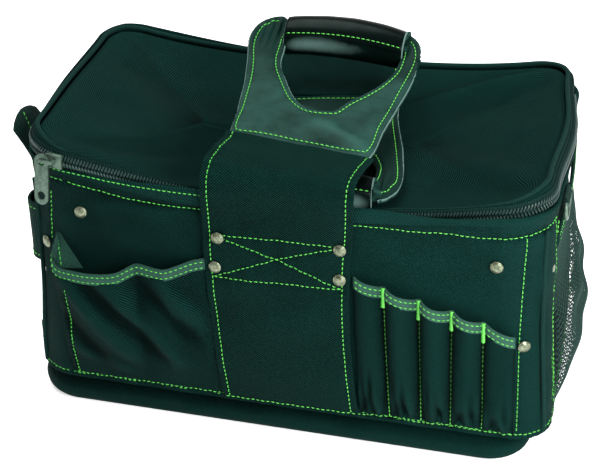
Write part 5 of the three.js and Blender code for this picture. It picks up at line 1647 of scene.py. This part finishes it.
def build_rivet(name, face, along, z, offset):
    seat = on_face(face, along, z, offset)
    beside = on_face(face, along + 0.5, z, offset) - on_face(face, along - 0.5, z, offset)
    side = unit(beside * (1, 1, 0))
    up = np.array([0.0, 0.0, 1.0])
    normal = np.cross(side, up)
    turn = 2 * np.pi * np.arange(RIVET_SIDES) / RIVET_SIDES
    spoke = side * np.cos(turn)[:, None] + up * np.sin(turn)[:, None]
    rings = [seat + spoke * r * RIVET_RADIUS + normal * h * RIVET_HEIGHT for r, h in RIVET_PROFILE]
    shell = Shell()
    index = shell.add(np.array(rings))
    shell.join(index, wrap_columns=True)
    shell.fan(index[0])
    shell.fan(index[-1], flip=True)
    make_piece(name + "_dome", shell, [rivet_metal], [name], sharp=METAL_SHARP)


def build_rivets():
    for i, (x, z) in enumerate(STRAP_RIVETS, 1):
        build_rivet(f"rivet_front_strap_{i}", FRONT, x, z, FRONT_STRAP_LIFT + STRAP + STRAP_RIVET_LIFT)
        build_rivet(f"rivet_rear_strap_{i}", BACK, x, z, REAR_STRAP_LIFT + STRAP + STRAP_RIVET_LIFT)
    for name, face, along, z in WALL_RIVETS:
        build_rivet(name, face, along, z, GAP)


# Corded seams up the corners, by their stations round the walls
PIPING_STATIONS = (("front_right", 1.62), ("back_right", 3.38), ("back_left", 5.62), ("front_left", 7.38))
PIPING_LEVELS, PIPING_OUT, PIPING_RADIUS, PIPING_GUIDE = np.linspace(29, 203, 90), 1.4, 1.8, (1, 0.3, 0)


def build_corner_piping():
    for name, station in PIPING_STATIONS:
        path = on_wall(np.full_like(PIPING_LEVELS, station), PIPING_LEVELS, PIPING_OUT)
        shell = tube_shell(path, PIPING_RADIUS, CORD_SIDES, guide=PIPING_GUIDE)
        make_piece(f"corner_cord_{name}", shell, [piping_cloth], [f"corner_piping_{name}"])


# Side ring: place on the right side, half width, shoulder, drop and wire
RING_ALONG, RING_Z, RING_OUT = -72.0, 213.0, 4.9
RING_HALF, RING_SHOULDER, RING_DROP, RING_WIRE, RING_SIDES, RING_POWER = 14.0, 2.0, 14.0, 1.6, 12, 0.8
RING_BAR, RING_POINTS = (-0.9, -0.6, -0.3, 0.0, 0.3, 0.6, 0.9), 33

# Its webbing tab: top, offsets of its two tails, bend round the ring, half width and thickness
RING_TAB_TOP, RING_TAB_TAILS, RING_TAB_BEND = 218.5, (1.8, 3.6), 2.1
RING_TAB_HALF, RING_TAB_THICK, RING_TAB_COLUMNS, RING_BEND_STEPS = 10, 1.5, 15, 16


def build_ring():
    x = on_face(RIGHT, RING_ALONG, RING_Z, 0.0)[0] + RING_OUT
    upper = [(part * RING_HALF, 0.0) for part in RING_BAR]
    turn = np.linspace(0, np.pi, RING_POINTS)
    lower = list(zip(RING_HALF * np.cos(turn), RING_SHOULDER + RING_DROP * np.sin(turn) ** RING_POWER))
    path = np.array([(x, RING_ALONG + y, RING_Z - drop) for y, drop in upper + lower])
    shell = tube_shell(path, RING_WIRE, RING_SIDES, closed=True, guide=(1, 0, 0))
    make_piece("side_d_ring", shell, [slider_metal], ["side_ring"], body="ring",
               sharp=METAL_SHARP)
    bend = np.pi * (1 + np.arange(RING_BEND_STEPS + 1) / RING_BEND_STEPS)
    inner, outer = (on_face(RIGHT, RING_ALONG, RING_TAB_TOP, GAP + tail)[0] for tail in RING_TAB_TAILS)
    path = [(x + RING_TAB_BEND * math.cos(a), RING_Z + RING_TAB_BEND * math.sin(a)) for a in bend]
    path = refined(np.array([(inner, RING_TAB_TOP)] + path + [(outer, RING_TAB_TOP)]), 2)
    y = np.linspace(RING_ALONG - RING_TAB_HALF, RING_ALONG + RING_TAB_HALF, RING_TAB_COLUMNS)
    points = np.stack(np.broadcast_arrays(path[:, 0][:, None], y, path[:, 1][:, None]), -1)
    tab = Surface(points[::-1])
    tab.push(np.full(points.shape[:2], RING_TAB_THICK))
    shell = sheet_shell(tab, RING_TAB_THICK)
    piece = make_piece("ring_tab_webbing", shell, [black_webbing], ["ring_tab"])
    declare_sheet(tab)


# Left tab: out from the wall and share of the way up, and its rounded top by distance along the side
TAB_ROWS = np.array([(0.6, 0.0), (1.2, 0.28), (5.5, 0.6), (12.5, 1.0)], float)
TAB_TOP = ((30, 217), (42, 223), (54, 227.5), (64, 230), (72, 229.5), (78, 227), (82, 222))
TAB_FOOT, TAB_THICK, TAB_FILL, TAB_COLUMNS = 198.0, 2.6, 9, 33
TAB_SEAM, TAB_BACK_SEAM, TAB_POINTS = (28.5, 21.0), (3.0, 3.0), 90


def build_left_tab():
    rows = refined(TAB_ROWS, TAB_FILL)
    along = np.linspace(TAB_TOP[0][0], TAB_TOP[-1][0], TAB_COLUMNS)
    top = np.interp(along, *np.array(TAB_TOP, float).T)
    out, share = rows[:, 0][:, None], rows[:, 1][:, None]
    tab = Surface(on_face(LEFT, along + 0 * out, lerp(TAB_FOOT, top, share), out + TAB_THICK))
    last = len(rows) - 2
    ends = (TAB_SEAM, TAB_BACK_SEAM)
    seam, back_seam = (straight((1, low), (last, high), TAB_POINTS) for low, high in ends)
    sew("webbing", *tab.at(*seam))
    sew("webbing", *tab.at(*back_seam))
    under, normal = tab.at(*seam, -TAB_THICK)
    sew("webbing", under, -normal)
    shell = sheet_shell(tab, TAB_THICK)
    piece = make_piece("left_tab_webbing", shell, [black_webbing], ["left_tab"])
    declare_sheet(tab)


# Loops on the left side: share of the way along and of the bulge
LOOP_ROWS = ((0, 0), (0.12, 0.62), (0.3, 0.94), (0.5, 1), (0.7, 0.94), (0.88, 0.62), (1, 0))
LOOP_SEAT, LOOP_FILL, LOOP_STEPS = 0.6, 6, 24
LOOP_FOOT_SEAM, LOOP_EDGE_SEAM, LOOP_EDGE_END = 4.0, 2.0, 6
LOOP_FOOT_POINTS, LOOP_EDGE_POINTS = 60, 90


def build_loop(name, start, end, low, high, bulge, thick, foot):
    rows = [(start - foot, 0.0), (start - foot / 2, 0.0)]
    rows += [(lerp(start, end, part), out) for part, out in LOOP_ROWS]
    rows += [(end + foot / 2, 0.0), (end + foot, 0.0)]
    along, out = refined(np.array(rows, float), LOOP_FILL).T
    z = np.linspace(low, high, LOOP_STEPS + 1)[:, None]
    stand = LOOP_SEAT + np.clip(out, 0, None) * bulge + thick
    loop = Surface(on_face(LEFT, along + 0 * z, z, stand))
    columns = len(along) - 1
    for column in (LOOP_FOOT_SEAM, columns - LOOP_FOOT_SEAM):
        upright = straight((1, column), (LOOP_STEPS - 1, column), LOOP_FOOT_POINTS)
        sew("webbing", *loop.at(*upright))
    for row in (LOOP_EDGE_SEAM, LOOP_STEPS - LOOP_EDGE_SEAM):
        level = straight((row, LOOP_EDGE_END), (row, columns - LOOP_EDGE_END), LOOP_EDGE_POINTS)
        sew("webbing", *loop.at(*level))
    piece = make_piece(name + "_webbing", sheet_shell(loop, thick), [black_webbing], [name])
    flat = (round((high - low) * MM, 3), run_length(loop.points[LOOP_STEPS // 2]))


# Slider and pull: points nearer than this are joined, flat faces made one, and edges rounded
JOIN_DISTANCE, FLAT_ANGLE, ROUND_WIDTH, ROUND_STEPS, ROUND_ANGLE, ROUNDED_SHARP = 0.00002, 3, 0.5, 3, 35, 40


def build_rounded_metal(node_name, body):
    """A copy of one of the frame's metal pieces with its edges rounded over."""
    name = node_name + "_metal"
    piece = add_object(name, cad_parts[node_name].data.copy())
    piece.data.materials.clear()
    piece.data.materials.append(slider_metal)
    joined = piece.modifiers.new("join_points", "WELD")
    joined.merge_threshold = JOIN_DISTANCE
    flat = piece.modifiers.new("flat_faces", "DECIMATE")
    flat.decimate_type = "DISSOLVE"
    flat.angle_limit = math.radians(FLAT_ANGLE)
    rounded = piece.modifiers.new("round_edges", "BEVEL")
    rounded.width = ROUND_WIDTH * MM
    rounded.segments = ROUND_STEPS
    rounded.angle_limit = math.radians(ROUND_ANGLE)
    graph = bpy.context.evaluated_depsgraph_get()
    mesh = bpy.data.meshes.new_from_object(piece.evaluated_get(graph))
    piece.modifiers.clear()
    piece.data = mesh
    shade_smooth(mesh, ROUNDED_SHARP)
    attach(piece, body)
    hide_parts(node_name)


# All the pieces
build_walls()
build_base()
build_lid()
build_lid_edge()
build_zip()
build_strap("front_strap", FRONT, front_spine, FRONT_STRAP_LIFT, "front_handle")
build_strap("rear_strap", BACK, rear_spine, REAR_STRAP_LIFT, "rear_handle")
build_yoke("front_yoke", front_spine, "front_handle", YOKE_LEFT, shade=0.0, cup_rise=5.0)
# The rear yoke is painted darker, a painted shadow of the front handle
build_yoke("rear_yoke", rear_spine, "rear_handle", REAR_YOKE_LEFT, shade=-1.2, cup_rise=-3.0)
build_grip("front_grip", front_spine, "front_handle", drop=2.2, facing=1)
build_grip("rear_grip", rear_spine, "rear_handle", drop=9.0, facing=-1)
build_left_pocket()
build_pocket_corner()
build_tool_slots()
build_bar_tacks()
build_net()
build_net_hem()
sew_net()
build_rivets()
build_corner_piping()
build_ring()
build_left_tab()
build_loop("hammer_loop", start=50, end=82, low=112, high=165, bulge=15, thick=2.2, foot=7)
build_loop("keeper_loop", start=60, end=84, low=28, high=43, bulge=8, thick=1.8, foot=4)
build_rounded_metal("zip_slider", "bag")
build_rounded_metal("zip_pull", "pull")

for group, seams in SEAMS.items():
    make_piece(f"stitches_{group}", stitch_shell(seams), [lime_thread])

# Camera where the photograph was taken from: place, angles in radians, and focal length and width in pixels
CAMERA_PLACE = (303.47, -1233.06, 886.49)
CAMERA_YAW, CAMERA_PITCH, CAMERA_ROLL = 0.253029, 0.547550, -0.032275
FOCAL_PIXELS, PICTURE_WIDTH, SENSOR, CLIP_END = 1800.36, 600.0, 36.0, 50

# White floor and studio, in metres, and soft lights by name, place, target, size and power
FLOOR_REACH, FLOOR_TONE, FLOOR_ROUGH, FLOOR_SPECULAR, FLOOR_GLOW = 9.0, 0.97, 0.9, 0.1, 0.45
STUDIO_STRENGTH = 0.5
WHITE = (1, 1, 1, 1)
LIGHTS = (
    ("soft_top", (-0.5, 0.3, 2.0), (0, 0, 0.2), (1.6, 1.2), 46),
    ("soft_front", (0.95, -0.9, 0.8), (0.05, 0, 0.12), (0.7, 0.7), 28),
    ("soft_right", (1.7, -0.9, 1.0), (0.1, 0, 0.12), (0.9, 1.3), 4),
)


def place_camera():
    level = math.cos(CAMERA_PITCH)
    back = np.array([math.sin(CAMERA_YAW) * level, -math.cos(CAMERA_YAW) * level, math.sin(CAMERA_PITCH)])
    right = unit(np.cross(-back, (0, 0, 1)))
    up = np.cross(right, -back)
    turned = right * math.cos(CAMERA_ROLL) + up * math.sin(CAMERA_ROLL)
    upright = up * math.cos(CAMERA_ROLL) - right * math.sin(CAMERA_ROLL)
    data = bpy.data.cameras.new("photo_camera")
    data.sensor_width = SENSOR
    data.sensor_fit = "HORIZONTAL"
    data.lens = FOCAL_PIXELS / PICTURE_WIDTH * SENSOR
    data.clip_end = CLIP_END
    camera = add_object("photo_camera", data)
    turn = Matrix([turned, upright, back]).transposed().to_4x4()
    camera.matrix_world = Matrix.Translation(Vector(CAMERA_PLACE) * MM) @ turn
    bpy.context.scene.camera = camera


def build_stage():
    mesh = bpy.data.meshes.new("white_floor")
    corners = [(x * FLOOR_REACH, y * FLOOR_REACH, 0) for x, y in ((-1, -1), (1, -1), (1, 1), (-1, 1))]
    mesh.from_pydata(corners, [], [(0, 1, 2, 3)])
    material, _, shader = new_material("white_floor", FLOOR_ROUGH, specular=FLOOR_SPECULAR)
    shader.inputs["Base Color"].default_value = (FLOOR_TONE, FLOOR_TONE, FLOOR_TONE, 1)
    shader.inputs["Emission Color"].default_value = WHITE
    shader.inputs["Emission Strength"].default_value = FLOOR_GLOW
    mesh.materials.append(material)
    add_object("white_floor", mesh)
    world = bpy.data.worlds.new("studio")
    world.use_nodes = True
    background = world.node_tree.nodes["Background"]
    background.inputs["Color"].default_value = WHITE
    background.inputs["Strength"].default_value = STUDIO_STRENGTH
    bpy.context.scene.world = world


def add_light(name, place, target, size, power):
    data = bpy.data.lights.new(name, "AREA")
    data.shape = "RECTANGLE"
    data.size, data.size_y = size
    data.energy = power
    light = add_object(name, data)
    light.location = place
    aim = Vector(target) - Vector(place)
    light.rotation_euler = aim.to_track_quat("-Z", "Y").to_euler()


place_camera()
build_stage()
for light_row in LIGHTS:
    add_light(*light_row)
bpy.context.scene.view_settings.view_transform = "Standard"
